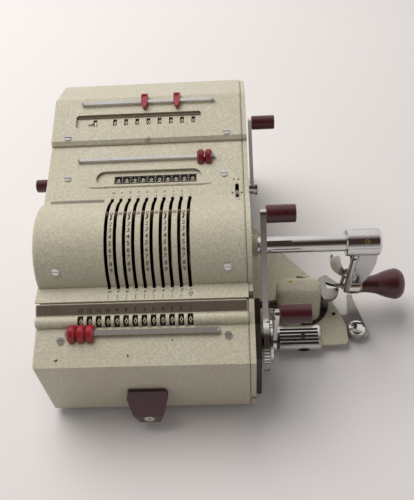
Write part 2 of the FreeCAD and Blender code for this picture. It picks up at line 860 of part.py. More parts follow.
def crank_arm():
    """Cap over the tube end, swept web down to the boss, pin sleeve beside it, and the handle spindle."""
    cap = turned_x([
        (hub_start_x, 0.0), (hub_start_x, hub_r - 1.0), (hub_start_x + 1.0, hub_r),
        (hub_end_x - hub_round, hub_r),
        (hub_end_x - hub_round * 0.3, hub_r - hub_round * 0.3, hub_end_x, hub_r - hub_round),
        (hub_end_x, 0.0)], axis_y, axis_z)
    web_left = boss_start_x + web_inset
    web_right = hub_end_x - touch_gap
    web_end = boss_end_x + ferrule_length / 2
    web_low = axis_z - hub_r * 1.4
    middle_z = (web_low + handle_z) / 2
    web = slab_y([
        (web_left, axis_z), (web_right, axis_z), (web_right, web_low),
        (web_right - web_sweep, middle_z, web_end, handle_z + ferrule_r),
        (web_end, handle_z), (boss_start_x, handle_z), (boss_start_x, handle_z + boss_r),
        (web_left, handle_z + 2 * boss_r)],
        axis_y - arm_thick / 2, axis_y + arm_thick / 2)
    boss = rod_x(boss_start_x, boss_end_x, axis_y, handle_z, boss_r)
    ferrule = rod_x(boss_end_x, handle_start_x - touch_gap, axis_y, handle_z, ferrule_r)
    spindle = rod_x(boss_end_x, handle_end_x - handle_wall - touch_gap, axis_y, handle_z, spindle_r)
    sleeve_y = axis_y - arm_thick / 2 + ear_thick - sleeve_r
    foot = V(boss_start_x - sleeve_r / 2, sleeve_y, handle_z + 1.0)
    head = V(boss_start_x + touch_gap, sleeve_y, axis_z - hub_r * 0.55)
    along = head - foot
    sleeve = Part.makeCylinder(sleeve_r, along.Length, foot, along)
    collar_at = foot + along * 0.86
    collar = Part.makeCylinder(sleeve_r + 1.0, sleeve_r * 0.8, collar_at, along)
    pivot_z = axis_z - thumb_pivot_drop
    ears = []
    for side in (-1, 1):
        y = axis_y + side * (arm_thick / 2 - ear_thick / 2)
        ears.append(box(
            thumb_pivot_x - ear_half, boss_start_x + 1.0, y - ear_thick / 2, y + ear_thick / 2,
            pivot_z - ear_half, pivot_z + ear_half))
    brace = box(boss_start_x, web_left + 1.0, axis_y - arm_thick / 2, axis_y - arm_thick / 2 + ear_thick,
                pivot_z - ear_half, pivot_z + ear_half)
    back_brace = brace.translated(V(0, arm_thick - ear_thick, 0))
    arm = fuse([cap, web, boss, ferrule, spindle, sleeve, collar, brace, back_brace] + ears)
    axle_bore = Part.makeCylinder(
        thumb_axle_r + run_gap, arm_thick + 2,
        V(thumb_pivot_x, axis_y - arm_thick / 2 - 1, pivot_z), V(0, 1, 0))
    cheek = box(boss_start_x - 1, boss_start_x + thumb_room, axis_y - lock_pin_r, axis_y + lock_pin_r,
                handle_z, axis_z - hub_r - 4.0)
    bore = rod_x(hub_start_x - 1, tube_end_x, axis_y, axis_z, tube_r)
    pin_bore = rod_x(boss_start_x - 1, boss_end_x - 1.0, axis_y, handle_z, lock_pin_r + run_gap)
    return cut_all(arm, [bore, pin_bore, cheek, axle_bore])


def crank_handle():
    """Pear-shaped grip, from its neck at the ferrule to the round end."""
    waist_x = handle_start_x + handle_neck
    fat_x = handle_end_x - handle_nose
    bulge = (handle_r - handle_waist_r) * 0.1
    outline = [
        (handle_start_x, spindle_r + run_gap), (handle_start_x, handle_neck_r),
        ((handle_start_x + waist_x) / 2.0, handle_neck_r + bulge, waist_x, handle_waist_r),
        ((waist_x + fat_x) / 2.0, (handle_waist_r + handle_r) / 2.0 + bulge, fat_x, handle_r),
        (handle_end_x - handle_nose * 0.25, handle_r * 0.8, handle_end_x, handle_r * 0.35),
        (handle_end_x, 0.0),
        (handle_end_x - handle_wall, 0.0), (handle_end_x - handle_wall, spindle_r + run_gap)]
    return turned_x(outline, axis_y, handle_z)


def lock_pin():
    end = boss_end_x - 1.0 - lock_travel - touch_gap
    pin = rod_x(lock_pin_tip_x + lock_nose, end, axis_y, handle_z, lock_pin_r)
    tip = V(lock_pin_tip_x, axis_y, handle_z)
    nose = Part.makeCone(lock_pin_r * 0.55, lock_pin_r, lock_nose, tip, V(1, 0, 0))
    collar_x = boss_start_x - lock_travel - lock_collar - touch_gap
    collar = rod_x(collar_x, collar_x + lock_collar, axis_y, handle_z, lock_pin_r + 1.3)
    return fuse([pin, nose, collar])


def thumb_lever():
    """Broad thumb plate pivoted on the arm, with a tail down to the collar of the lock pin."""
    pz = axis_z - thumb_pivot_drop
    x = thumb_pivot_x
    w = thumb_width
    plate_x = x - w
    plate_z = pz + thumb_length
    spoon = slab_y([
        (x - 1.6, pz - 2.0), (x + 1.8, pz - 2.0), (x + 1.8, pz + 3.0),
        (x - w * 0.5, pz + thumb_length * 0.5, plate_x + w * 0.2, plate_z - w * 0.4),
        (plate_x - w * 0.35, plate_z, plate_x - w * 0.85, plate_z - w * 0.7),
        (x - w * 1.5, pz + thumb_length * 0.32, x - 1.6, pz - 2.0)],
        axis_y - thumb_thick / 2, axis_y + thumb_thick / 2)
    hub = Part.makeCylinder(thumb_axle_r * 2, thumb_hub, V(x, axis_y - thumb_hub / 2, pz), V(0, 1, 0))
    tail_z = handle_z + lock_pin_r + 2.2
    tail = slab_y([
        (x - 1.2, pz), (x + 1.2, pz), (x - 0.3, tail_z), (x - 2.7, tail_z)],
        axis_y - lock_pin_r + 0.4, axis_y + lock_pin_r - 0.4)
    axle = Part.makeCylinder(thumb_axle_r, arm_thick, V(x, axis_y - arm_thick / 2, pz), V(0, 1, 0))
    return fuse([spoon, hub, tail, axle])


def pinwheel_drum():
    """Ten pinwheels on one hub. Each has nine radial pins, drawn in as at zero."""
    left = lever_x(digits_set - 1) - pitch + wheel_offset
    right = unit_x + wheel_offset + wheel_thick
    parts = [rod_x(left, right, axis_y, axis_z, drum_r)]
    for i in range(-1, digits_set):
        x = unit_x - (i + 1) * pitch + wheel_offset
        parts.append(rod_x(x, x + wheel_thick, axis_y, axis_z, wheel_r))
        if i < 0:
            continue
        for k in range(wheel_pins):
            angle = zero_angle + pin_start + k * pin_step
            pin = Part.makeBox(
                pin_height, pin_width, pin_length, V(x + wheel_thick, -pin_width / 2, wheel_r - pin_length))
            pin.rotate(V(0, 0, 0), V(1, 0, 0), angle - 90)
            pin.translate(V(0, axis_y, axis_z))
            parts.append(pin)
    drum = fuse(parts)
    return drum.cut(rod_x(left - 1, right + wheel_thick + 1, axis_y, axis_z, shaft_r + run_gap / 3))


def setting_lever(index):
    """Cam ring of one pinwheel with its lever tip, at zero."""
    x = lever_x(index)
    x0 = x - lever_thick / 2
    x1 = x + lever_thick / 2
    ring = ring_x(x0, x1, axis_y, axis_z, lever_ring_r, drum_r + run_gap)
    cam = ring_x(x0 - 1, x1 + 1, axis_y, axis_z, cam_r + cam_width / 2, cam_r - cam_width / 2)
    reach = 2 * lever_ring_r
    sector = slab_x([
        (axis_y, axis_z), (axis_y - reach, axis_z + reach * 0.66), (axis_y - reach, axis_z - reach),
        (axis_y + reach * 0.33, axis_z - reach)], x0 - 2, x1 + 2)
    ring = ring.cut(cam.common(sector))
    side = lever_arm_width / 2
    tip_side = side - touch_gap
    neck = tip_r - tip_length
    arm = box(x0, x1, -side, side, lever_ring_r - 3.0, neck)
    tip = box(x - tip_thick / 2, x + tip_thick / 2, -tip_side, tip_side, neck, tip_r - tip_side / 2)
    crown = Part.makeCylinder(tip_side, tip_thick, V(x - tip_thick / 2, 0, tip_r - tip_side), V(1, 0, 0))
    blade = fuse([arm, tip, crown]).common(rod_x(x - 3, x + 3, 0, 0, tip_r))
    return fuse([ring, seat(blade, 0, axis_y, axis_z, zero_angle - 90)])


# Counter register
def counter_dials():
    xs = [counter_unit_x - i * counter_pitch for i in range(1, counter_dials_count)] + [counter_extra_x]
    parts = [rod_x(-frame_out, frame_out, counter_axis_y, counter_axis_z, dial_shaft_r)]
    parts += number_wheels(xs, counter_dial_width, counter_axis_y, counter_axis_z, counter_dial_r)
    near = counter_unit_x + counter_dial_width / 2 + touch_gap
    parts.append(rod_x(near, near + dial_shaft_r, counter_axis_y, counter_axis_z, 2 * dial_shaft_r))
    return fuse(parts)


def counter_units_dial():
    low = counter_unit_x - counter_dial_width / 2
    return ring_x(low, low + counter_dial_width, counter_axis_y, counter_axis_z, counter_dial_r,
                  dial_shaft_r + run_gap)


def check_dials():
    xs = [check_unit_x - i * check_pitch for i in range(digits_set)]
    sleeve = rod_x(xs[-1], xs[0], check_axis_y, check_axis_z, check_sleeve_r)
    parts = fuse([sleeve] + number_wheels(xs, check_dial_width, check_axis_y, check_axis_z, check_dial_r))
    return parts.cut(rod_x(-half, half, check_axis_y, check_axis_z, dial_shaft_r + run_gap))


def counter_tip():
    return (counter_lever_y + counter_lever_length * cos(counter_lever_angle),
            counter_lever_z + counter_lever_length * sin(counter_lever_angle))


def counter_clear_lever():
    tip = counter_tip()
    arm = link_x(
        counter_lever_x, counter_hub_x, (counter_lever_y, counter_lever_z), tip,
        counter_root_r, lever_width / 2)
    pivot_hub_r = 2 * counter_pivot_r
    hub = rod_x(side_plate_x + touch_gap, counter_lever_x, counter_lever_y, counter_lever_z, pivot_hub_r)
    stud = rod_x(counter_hub_x, counter_hub_x + counter_grip_length - grip_wall - 1, tip[0], tip[1], stud_r)
    bore = rod_x(half, counter_hub_x + 1, counter_lever_y, counter_lever_z, counter_pivot_r + run_gap)
    return fuse([arm, hub, stud]).cut(bore)


def grip(x0, length, at, r):
    """Round finger grip with slightly rounded ends, pressed on its stud."""
    e = grip_round
    outline = [
        (x0, stud_r), (x0, r - e), (x0 + e * 0.3, r - e * 0.3, x0 + e, r),
        (x0 + length - e, r), (x0 + length - e * 0.3, r - e * 0.3, x0 + length, r - e),
        (x0 + length, 0.0), (x0 + length - grip_wall, 0.0), (x0 + length - grip_wall, stud_r)]
    return turned_x(outline, at[0], at[1])


# Carriage
def carriage_skin(grow):
    """Outer side outline of the carriage cover, with its round bead, moved outwards by grow."""
    corners = inward(carriage_corners, -grow)
    height = bead_height + grow
    bead = (bead_mid_y - height * sin(bead_tilt), bead_mid_z + height * cos(bead_tilt)) + corners[3]
    return corners[:3] + [bead] + corners[4:]


def carriage_marker(x):
    """Marker on the carriage rail, hollowed behind to clear the bead."""
    marker = on_apron(half_disc(tab_width, tab_r, carriage_rail_width), x, carriage_rail_y)
    cover = slab_x(carriage_skin(touch_gap) + [(carriage_back, 0.0)], x - tab_width, x + tab_width)
    return marker.cut(cover)


def carriage_cover():
    skin = carriage_skin(0.0)
    closing = [
        (bead_front_y, bead_front_z - flange_depth * 1.4), (flange_depth, apron_height(0.0) - flange_depth),
        (flange_depth, 0.0)]
    inner = inward(carriage_corners, sheet)
    hollow = [(inner[0][0], -1.0)] + inner[1:-1] + [(inner[-1][0], -1.0)]
    cover = shell(skin, closing, hollow)
    tools = [
        rod_x(-frame_out, frame_out, result_y, result_z, result_dial_r + touch_gap),
        rod_x(-half - 1, half + 1, result_y, result_z, dial_shaft_r + run_gap)]
    for i in range(result_count):
        x = result_unit_x - i * result_pitch
        window = slab_z(rounded(
            -result_window_width / 2, result_window_width / 2, -result_window_length / 2,
            result_window_length / 2, result_window_round), -flange_depth / 2, flange_depth / 2)
        tools.append(seat(window, x, bead_mid_y, bead_mid_z, bead_tilt))
    tools += [on_apron(screw_hole(), x, y) for x, y in carriage_screw_places]
    return cut_all(cover, tools)


def carriage_frame():
    """Left cheek, slider bar, the inner plate of the clearing levers and the shaft that carries them."""
    inner = inward(carriage_corners, sheet + touch_gap)
    cheek = slab_x([(inner[0][0] + flange_depth, slider_z), (inner[1][0], apron_z / 2)] + inner[1:-1]
                   + [(inner[-1][0], slider_z)], -frame_out, -frame_in)
    slider = box(-frame_in, end_plate_x, slider_front_y, slider_back_y, slider_z, slider_z + plate)
    inset = inward(carriage_corners[:1] + carriage_corners[1:3] + carriage_corners[4:5], lever_plate_inset)
    lever_plate = slab_x([
        (inset[0][0], slider_z)] + inset[1:] + [(slider_back_y, slider_z)], end_plate_x, lever_plate_x)
    shaft = rod_x(end_plate_x, short_hub_end_x, clear_y, clear_z, clear_shaft_r)
    spacer_r = clear_shaft_r + lever_spacer_wall
    collars = [
        rod_x(lever_plate_x, long_x - touch_gap, clear_y, clear_z, spacer_r),
        rod_x(long_x + long_thick + touch_gap, short_hub_x - touch_gap, clear_y, clear_z, spacer_r),
        rod_x(short_hub_end_x + touch_gap, short_hub_end_x + plate, clear_y, clear_z, spacer_r),
        rod_x(short_hub_end_x, short_hub_end_x + touch_gap, clear_y, clear_z, clear_shaft_r)]
    bore = rod_x(-half, -frame_in + 1, result_y, result_z, dial_shaft_r + run_gap)
    return fuse([cheek, slider, lever_plate, shaft] + collars).cut(bore)


def carriage_end_plate():
    """Painted plate that closes the carriage on the right, slotted for the slider bar."""
    outline = [(0.0, 0.0)] + carriage_corners[1:5] + [(carriage_back, 0.0)]
    end = slab_x(outline, half, end_plate_x)
    tools = [
        rod_x(half - 1, end_plate_x - 1.0, result_y, result_z, dial_shaft_r + run_gap),
        box(half - 1, end_plate_x + 1, slider_front_y, slider_back_y, slider_z, slider_z + plate),
        box(half - 1, end_plate_x + 1, -1.0, latch_depth, latch_z, latch_z + latch_height)]
    return cut_all(end, tools)


def carriage_guides():
    shapes = []
    for y in (slider_front_y + guide_width / 2, slider_back_y - guide_width):
        shapes.append(box(-tongue_half, tongue_half, y, y + guide_width, plate, slider_z - touch_gap))
    return shapes


def result_dials():
    xs = [result_unit_x - i * result_pitch for i in range(result_count)]
    parts = [rod_x(-frame_out, end_plate_x - 1.2, result_y, result_z, dial_shaft_r)]
    parts += number_wheels(xs, result_dial_width, result_y, result_z, result_dial_r)
    return fuse(parts)


def toothed_wheel(x0, x1, y, z, r, count, depth):
    points = []
    for i in range(count):
        for part, radius in ((0.0, r - depth), (0.28, r - depth), (0.42, r), (0.82, r)):
            angle = 2 * math.pi * (i + part) / count
            points.append((y + radius * math.cos(angle), z + radius * math.sin(angle)))
    return slab_x(points, x0, x1)


def long_tip():
    return clear_y + long_length * cos(long_angle), clear_z + long_length * sin(long_angle)


def result_clear_lever():
    tip = long_tip()
    wheel = toothed_wheel(
        long_x, long_x + long_thick, clear_y, clear_z, long_wheel_r, long_teeth, long_tooth_depth)
    arm = link_x(long_x, long_x + long_thick, (clear_y, clear_z), tip, long_root_r, lever_width / 2)
    rim = long_wheel_r + touch_gap
    middle = (long_angle + long_rim_end) / 2
    sector = slab_x([
        (clear_y, clear_z), (clear_y + rim * cos(long_angle), clear_z + rim * sin(long_angle)),
        (clear_y + rim * cos(middle), clear_z + rim * sin(middle),
         clear_y + rim * cos(long_rim_end), clear_z + rim * sin(long_rim_end))], long_x, long_x + long_thick)
    stud_x = long_x + long_thick
    stud = rod_x(stud_x, stud_x + long_grip_length - grip_wall - 1, tip[0], tip[1], stud_r)
    bore = rod_x(long_x - 1, long_x + long_thick + 1, clear_y, clear_z, clear_shaft_r + run_gap)
    return fuse([wheel, arm, sector, stud]).cut(bore)


def short_tip():
    return clear_y + short_length * cos(short_angle), clear_z + short_length * sin(short_angle)


def setting_clear_lever():
    """Hub with a flat-bottomed disc, and the arm that leans outwards to its grip."""
    tip = short_tip()
    hub = rod_x(short_hub_x, short_hub_end_x, clear_y, clear_z, clear_shaft_r + 4.0)
    disc = rod_x(short_hub_x, short_x, clear_y, clear_z, short_disc_r)
    low = clear_z - short_disc_r * 0.68
    flat = box(short_hub_x - 1, short_x + 1, clear_y - 2 * short_disc_r, clear_y + 2 * short_disc_r,
               low - short_disc_r, low)
    disc = disc.cut(flat)
    arm = link_x(
        short_x, short_hub_end_x, (clear_y, clear_z - short_tail), tip, lever_width * 0.6, lever_width / 2)
    arm.rotate(V(short_x, clear_y, clear_z), V(0, 1, 0), short_lean)
    stud = rod_x(short_x + 1, short_grip_x + short_grip_length - grip_wall - 1, tip[0], tip[1], stud_r)
    bore = rod_x(short_hub_x - 1, short_hub_end_x + 1, clear_y, clear_z, clear_shaft_r + run_gap)
    return fuse([hub, disc, arm, stud]).cut(bore)


def carriage_grip():
    """Tapered red grip at the foot of the carriage front, rounded about the pivot at its top edge."""
    r = grip_pivot_r
    back = -touch_gap
    bend = r * math.sqrt(0.5)
    shoulder = grip_top_z - grip_shoulder
    side = slab_x([
        (back, grip_bottom_z), (back, grip_pivot_z), (grip_pivot_y + bend, grip_pivot_z + bend,
                                                      grip_pivot_y, grip_top_z),
        (grip_pivot_y - r, grip_top_z), (-grip_reach * 0.95, grip_bottom_z + grip_front_h + 2.5),
        (-grip_reach, grip_bottom_z + grip_front_h), (-grip_reach, grip_bottom_z)],
        -grip_top_half, grip_top_half)
    front = slab_y([
        (-grip_bottom_half, grip_bottom_z), (grip_bottom_half, grip_bottom_z),
        (grip_top_half, shoulder), (grip_top_half - 2.0, grip_top_z),
        (-grip_top_half + 2.0, grip_top_z), (-grip_top_half, shoulder)], -grip_reach - 1, 0.0)
    return side.common(front)


# Wing fittings
def tower_section(inset, left, z):
    """Plan outline of the tower at one height, as a wire. Its front leans back with height."""
    lean = (z - tower_foot_z) * tower_lean
    outline = rounded(
        left + inset, tower_right - inset, tower_front_y + lean + inset, tower_back_y - inset,
        tower_corner - inset)
    return wire(outline, lambda x, y: V(x, y, z))


def tower_housing():
    """Domed housing over the crank gears, flared at its left foot and rounded over the top."""
    waist_z = tower_foot_z + (tower_top_z - tower_foot_z) * 0.5
    low = Part.makeLoft([
        tower_section(0.0, tower_left, tower_foot_z),
        tower_section(0.0, tower_left + tower_flare, waist_z)], True, True)
    steps = 5
    sections = [tower_section(0.0, tower_left + tower_flare, waist_z)]
    for i in range(steps + 1):
        angle = 90.0 * i / steps
        z = tower_top_z - tower_dome + tower_dome * sin(angle)
        sections.append(tower_section(tower_dome * (1 - cos(angle)), tower_left + tower_flare, z))
    high = Part.makeLoft(sections, True, True)
    bore = rod_x(tower_left - 1, tower_left + tower_flare + 2 * touch_gap, cross_shaft_y, cross_shaft_z,
                 cross_shaft_r + run_gap)
    return fuse([low, high]).cut(bore)


def crank_catch():
    """Forked catch on a post. The lock pin of the crank stands over the opening of its two prongs."""
    left = tower_right + touch_gap
    top = handle_z - lock_pin_r - catch_gap
    back_prong = [
        (left, axis_y + 11.5), (left + 7.0, axis_y + 15.0), (left + 19.0, axis_y + 3.2),
        (left + 17.5, axis_y + 2.0), (left + 10.8, axis_y + 4.2), (left + 5.6, axis_y + 6.7)]
    front_prong = [
        (left + 6.8, axis_y - 1.5), (left + 17.9, axis_y - 1.0),
        (left + 15.5, axis_y - 9.0, left + 9.7, axis_y - 14.0), (left + 2.2, axis_y - 13.3),
        (left, axis_y - 6.3)]
    fork = slab_z(back_prong + front_prong, top - catch_thick, top)
    post = box(left + 0.8, left + 7.0, axis_y - 12.0, axis_y - 3.0, disc_top_z, top - catch_thick)
    return fuse([fork, post])


def wing_posts():
    """Round plate under the tower, pivot disc and pin of the shift key, and the transfer pivot."""
    round_plate = rod_z(tower_disc_x, tower_disc_y, plate, disc_top_z, tower_disc_r)
    keep = box(half + 1, wing_x, tower_front_y - tower_disc_r, wing_back_y, plate, disc_top_z)
    disc = rod_z(key_pivot_x, key_y, plate, key_bottom_z - touch_gap, key_disc_r)
    pin = rod_z(key_pivot_x, key_y, plate, key_top_z + 1.0, key_pin_r)
    key_room = rod_z(key_pivot_x, key_y, 0, key_top_z, key_disc_r + touch_gap)
    round_plate = round_plate.common(keep).cut(key_room)
    under = -transfer_thick - touch_gap
    pivot = rod_z(transfer_pivot_x, transfer_pivot_y, under - 1.5, plate / 2, transfer_pin_r)
    head = rod_z(transfer_pivot_x, transfer_pivot_y, under - 2.7, under - touch_gap, 2 * transfer_pin_r)
    return [round_plate, fuse([disc, pin]), fuse([pivot, head])]


def shift_key():
    """Ribbed rocker key in a chrome frame."""
    left = key_x - key_length / 2
    right = key_x + key_length / 2
    front = key_y - key_depth / 2
    body = slab_z(rounded(left, right, front, front + key_depth, key_border), key_bottom_z, key_top_z)
    step = (key_depth - 2 * key_border) / key_ribs
    tools = [rod_z(key_pivot_x, key_y, key_bottom_z - 1, key_top_z + 1, key_pin_r + run_gap)]
    for i in range(key_ribs):
        y = front + key_border + (i + 0.5) * step
        tools.append(box(left + key_border, right - key_border, y - step * key_groove, y + step * key_groove,
                         key_top_z - key_groove_depth, key_top_z + 1))
    return cut_all(body, tools)


def transfer_lever():
    """Flat lever under the wing, with a finger beside it and a low domed button at its free end."""
    bx = transfer_button_x
    by = transfer_button_y
    r = transfer_button_r
    px = transfer_pivot_x
    py = transfer_pivot_y
    outline = [
        (px - transfer_eye, py), (px - transfer_eye * 0.7, py - transfer_eye * 0.7, px, py - transfer_eye),
        (bx - r, by + 2.0), (bx - r * 0.5, by - r * 0.8, bx + r * 0.6, by - r * 0.75),
        (bx + r + 1.0, by - r * 0.6, bx + r + 3.2, by - 1.0), (bx + 2.4, by + 33.0),
        (bx + 1.5, by + 42.5), (bx - 3.5, by + 42.5), (bx - 5.2, by + 22.0),
        (bx - 8.0, by + 19.0, px + transfer_eye, py + 3.0),
        (px + transfer_eye * 0.5, py + transfer_eye, px, py + transfer_eye)]
    body = slab_z(outline, -transfer_thick - touch_gap, -touch_gap)
    button = Part.makeCylinder(r, transfer_button_h, V(bx, by, -touch_gap))
    rim = [edge for edge in button.Edges if edge.Closed and edge.CenterOfMass.z > transfer_button_h / 2]
    button = button.makeFillet(transfer_button_h * 0.45, rim)
    bore = rod_z(px, py, -2 * transfer_thick - 2, 1.0, transfer_pin_r + run_gap)
    return fuse([body, button]).cut(bore)


def left_knob():
    face = -half - knob_travel - touch_gap
    stem = rod_x(face, -frame_in + sheet, knob_y, knob_z, knob_r / 2)
    body = turned_x([
        (knob_end_x, 0.0), (knob_end_x, knob_r - 1.0),
        (knob_end_x + 0.3, knob_r - 0.3, knob_end_x + 1.0, knob_r), (face, knob_r), (face, 0.0)], knob_y, knob_z)
    washer = rod_x(-frame_in + touch_gap, -frame_in + sheet, knob_y, knob_z, knob_r * 0.8)
    return fuse([stem, body, washer])


def direction_lever():
    under = -sheet - touch_gap
    blade = box(-direction_thick / 2, direction_thick / 2, -2.0, 2.0, under, direction_height)
    foot = box(-direction_thick, direction_thick, -4.0, 4.0, under - 1.2, under)
    return on_panel(fuse([blade, foot]), direction_x, direction_y - direction_travel / 2)


# Dial axes below their windows, and the part's origin
counter_drop = mask_depth + mask_thick + touch_gap + counter_dial_r
counter_axis_y = counter_y + counter_drop * sin(top_rise)
counter_axis_z = top_z(counter_y) - counter_drop * cos(top_rise)
check_drop = mask_depth + mask_thick + touch_gap + check_dial_r
check_axis_y = check_y + check_drop * sin(panel_rise)
check_axis_z = panel_z(check_y) - check_drop * cos(panel_rise)
lean_rise = short_length * tan(short_lean)
short_grip_x = short_hub_end_x + lean_rise + touch_gap
origin = V((knob_end_x + handle_end_x) / 2.0, (rear_y - grip_reach) / 2.0, rest_z)


def all_pieces():
    long_grip = grip(long_x + long_thick, long_grip_length, long_tip(), long_grip_r)
    short_grip = grip(short_grip_x, short_grip_length, short_tip(), short_grip_r)
    pieces = {
        "base_plate": [base_plate()],
        "left_side_frame": [side_frame(-frame_out, -frame_in, True)],
        "right_side_frame": [side_frame(frame_in, frame_out, False)],
        "side_plate": [side_plate()],
        "rear_panel": [rear_panel()],
        "setting_cover": [setting_cover()],
        "counter_cover": [counter_cover()],
        "index_strip": [index_strip()],
        "feet": feet(),
        "cross_rods": cross_rods(),
        "case_screws": case_screws(),
        "register_masks": register_masks(),
        "carriage_guides": carriage_guides(),
        "tower_housing": [tower_housing()],
        "crank_catch": [crank_catch()],
        "wing_posts": wing_posts(),
        "register_rails": [
            on_top(rail(counter_rail_width, rail_left, rail_right), 0, counter_rail_y),
            on_panel(rail(counter_rail_width, rail_left, rail_right), 0, setting_rail_y)],
        "crank_tube": [crank_tube()],
        "pinwheel_drum": [pinwheel_drum()],
        "crank_arm": [crank_arm()],
        "crank_handle": [crank_handle()],
        "lock_pin": [lock_pin()],
        "thumb_lever": [thumb_lever()],
        "counter_dials": [counter_dials()],
        "counter_units_dial": [counter_units_dial()],
        "check_dials": [check_dials()],
        "counter_clear_lever": [counter_clear_lever()],
        "counter_clear_grip": [grip(counter_hub_x, counter_grip_length, counter_tip(), counter_grip_r)],
        "carriage_cover": [carriage_cover()],
        "carriage_frame": [carriage_frame()],
        "carriage_end_plate": [carriage_end_plate()],
        "carriage_rail": [on_apron(
            rail(carriage_rail_width, carriage_rail_left, carriage_rail_right), 0, carriage_rail_y)],
        "carriage_screws": [on_apron(screw(), x, y) for x, y in carriage_screw_places],
        "result_dials": [result_dials()],
        "result_clear_lever": [result_clear_lever()],
        "result_clear_grip": [long_grip],
        "setting_clear_lever": [setting_clear_lever()],
        "setting_clear_grip": [short_grip],
        "carriage_grip": [carriage_grip()],
        "shift_key": [shift_key()],
        "transfer_lever": [transfer_lever()],
        "left_knob": [left_knob()],
        "direction_lever": [direction_lever()],
    }
    for i in range(digits_set):
        pieces["setting_lever_%d" % (i + 1)] = [setting_lever(i)]
    for i, x in enumerate(pointer_xs):
        pieces["counter_pointer_%d" % (i + 1)] = [on_top(pointer(), x, counter_rail_y)]
    for i, x in enumerate(disc_xs):
        pieces["setting_marker_%d" % (i + 1)] = [on_panel(
            half_disc(disc_width, disc_r, counter_rail_width), x, setting_rail_y)]
    for i, x in enumerate(tab_xs):
        pieces["carriage_marker_%d" % (i + 1)] = [carriage_marker(x)]
    return pieces


os.makedirs("parts", exist_ok=True)
for name, solids in all_pieces().items():
    shape = solids[0] if len(solids) == 1 else Part.makeCompound(solids)
    shape = shape.translated(V(-origin.x, -origin.y, -origin.z))
    shape.exportStep("parts/%s.step" % name)
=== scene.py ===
import json
import math

import bmesh
import bpy
from bpy.props import FloatProperty, FloatVectorProperty, PointerProperty
from mathutils import Matrix, Vector
from mathutils.bvhtree import BVHTree


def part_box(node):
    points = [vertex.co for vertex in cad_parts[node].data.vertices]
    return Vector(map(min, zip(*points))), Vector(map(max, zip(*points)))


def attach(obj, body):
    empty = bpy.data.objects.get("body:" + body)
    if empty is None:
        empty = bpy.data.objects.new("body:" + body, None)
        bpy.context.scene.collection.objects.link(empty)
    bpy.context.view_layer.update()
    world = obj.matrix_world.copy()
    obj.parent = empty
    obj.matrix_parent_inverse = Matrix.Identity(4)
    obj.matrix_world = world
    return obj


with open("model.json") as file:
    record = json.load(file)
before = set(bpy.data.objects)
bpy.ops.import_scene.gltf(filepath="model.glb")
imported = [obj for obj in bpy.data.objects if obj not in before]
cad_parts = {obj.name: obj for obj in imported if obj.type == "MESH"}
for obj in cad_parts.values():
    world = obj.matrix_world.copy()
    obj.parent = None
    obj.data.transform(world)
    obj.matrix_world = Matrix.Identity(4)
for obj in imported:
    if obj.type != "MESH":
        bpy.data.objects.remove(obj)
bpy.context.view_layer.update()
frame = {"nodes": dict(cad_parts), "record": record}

bl_info = {
    "name": "Pinwheel calculator",
    "version": (1, 0, 0),
    "blender": (4, 5, 0),
    "location": "View3D > Sidebar > Calculator",
    "description": "Finishes, print, dial figures, trim and stage of a hand-cranked calculator",
    "category": "Object",
}

NODES = frame["nodes"]
BODIES = frame["record"]["behaviour"]["bodies"]
BODY_OF = {node: body for body, nodes in BODIES.items() for node in nodes}
SLOT_OF = {part["node"]: part["material_slot"] for part in frame["record"]["subparts"]}
MM = 0.001


def case_zero():
    """Middle of the case, front of the carriage and lower edge of the covers, in the row frame."""
    low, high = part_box("setting_cover")
    return Vector(((low.x + high.x) / 2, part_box("carriage_cover")[0].y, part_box("feet")[1].z))


CASE = case_zero()


def at(x, y, z):
    """A place given in millimetres of the case, as a point of the row frame."""
    return CASE + Vector((x, y, z)) * MM


# Places on the case in millimetres from its zero point, and the machine's own spacings
SLOT_X = 41.5
SLOT_PITCH = 7.7
SLOTS = 10
HUMP_AXIS = (108.0, 93.0)
HUMP_R = 43.3
ZERO_ANGLE = 82.5
STEP_ANGLE = 7.63
BEAD_X = 41.4
BEAD_PITCH = 7.68
BEAD_COUNT = 13
COUNTER_X = 44.1
COUNTER_PITCH = 10.69
COUNTER_COUNT = 8
COUNTER_LEFT_X = -49.6
CHECK_X = 43.4
CHECK_PITCH = 7.54

# Height from which a surface is sought, thickness of print, and its gap from the surface under it
ABOVE = 400.0
PRINT = 0.06
LIFT = 0.02


# The camera, colours and lamps that a user would change
class CalculatorCamera(bpy.types.PropertyGroup):
    place: FloatVectorProperty(
        name="Place", description="Camera place from the case's zero point", size=3, subtype="TRANSLATION",
        unit="LENGTH", default=(0.0827, -0.24912, 0.54871))
    heading: FloatProperty(
        name="Heading", description="Turn to the left from straight back", subtype="ANGLE", unit="ROTATION",
        default=math.radians(4.479))
    pitch: FloatProperty(
        name="Pitch", description="Tilt below the horizon", subtype="ANGLE", unit="ROTATION",
        default=math.radians(52.08))
    roll: FloatProperty(
        name="Roll", description="Turn about the line of sight", subtype="ANGLE", unit="ROTATION",
        default=math.radians(5.398))
    lens: FloatProperty(
        name="Lens", description="Focal length for a 36 mm sensor on the long side", default=46.8,
        min=20, max=120)


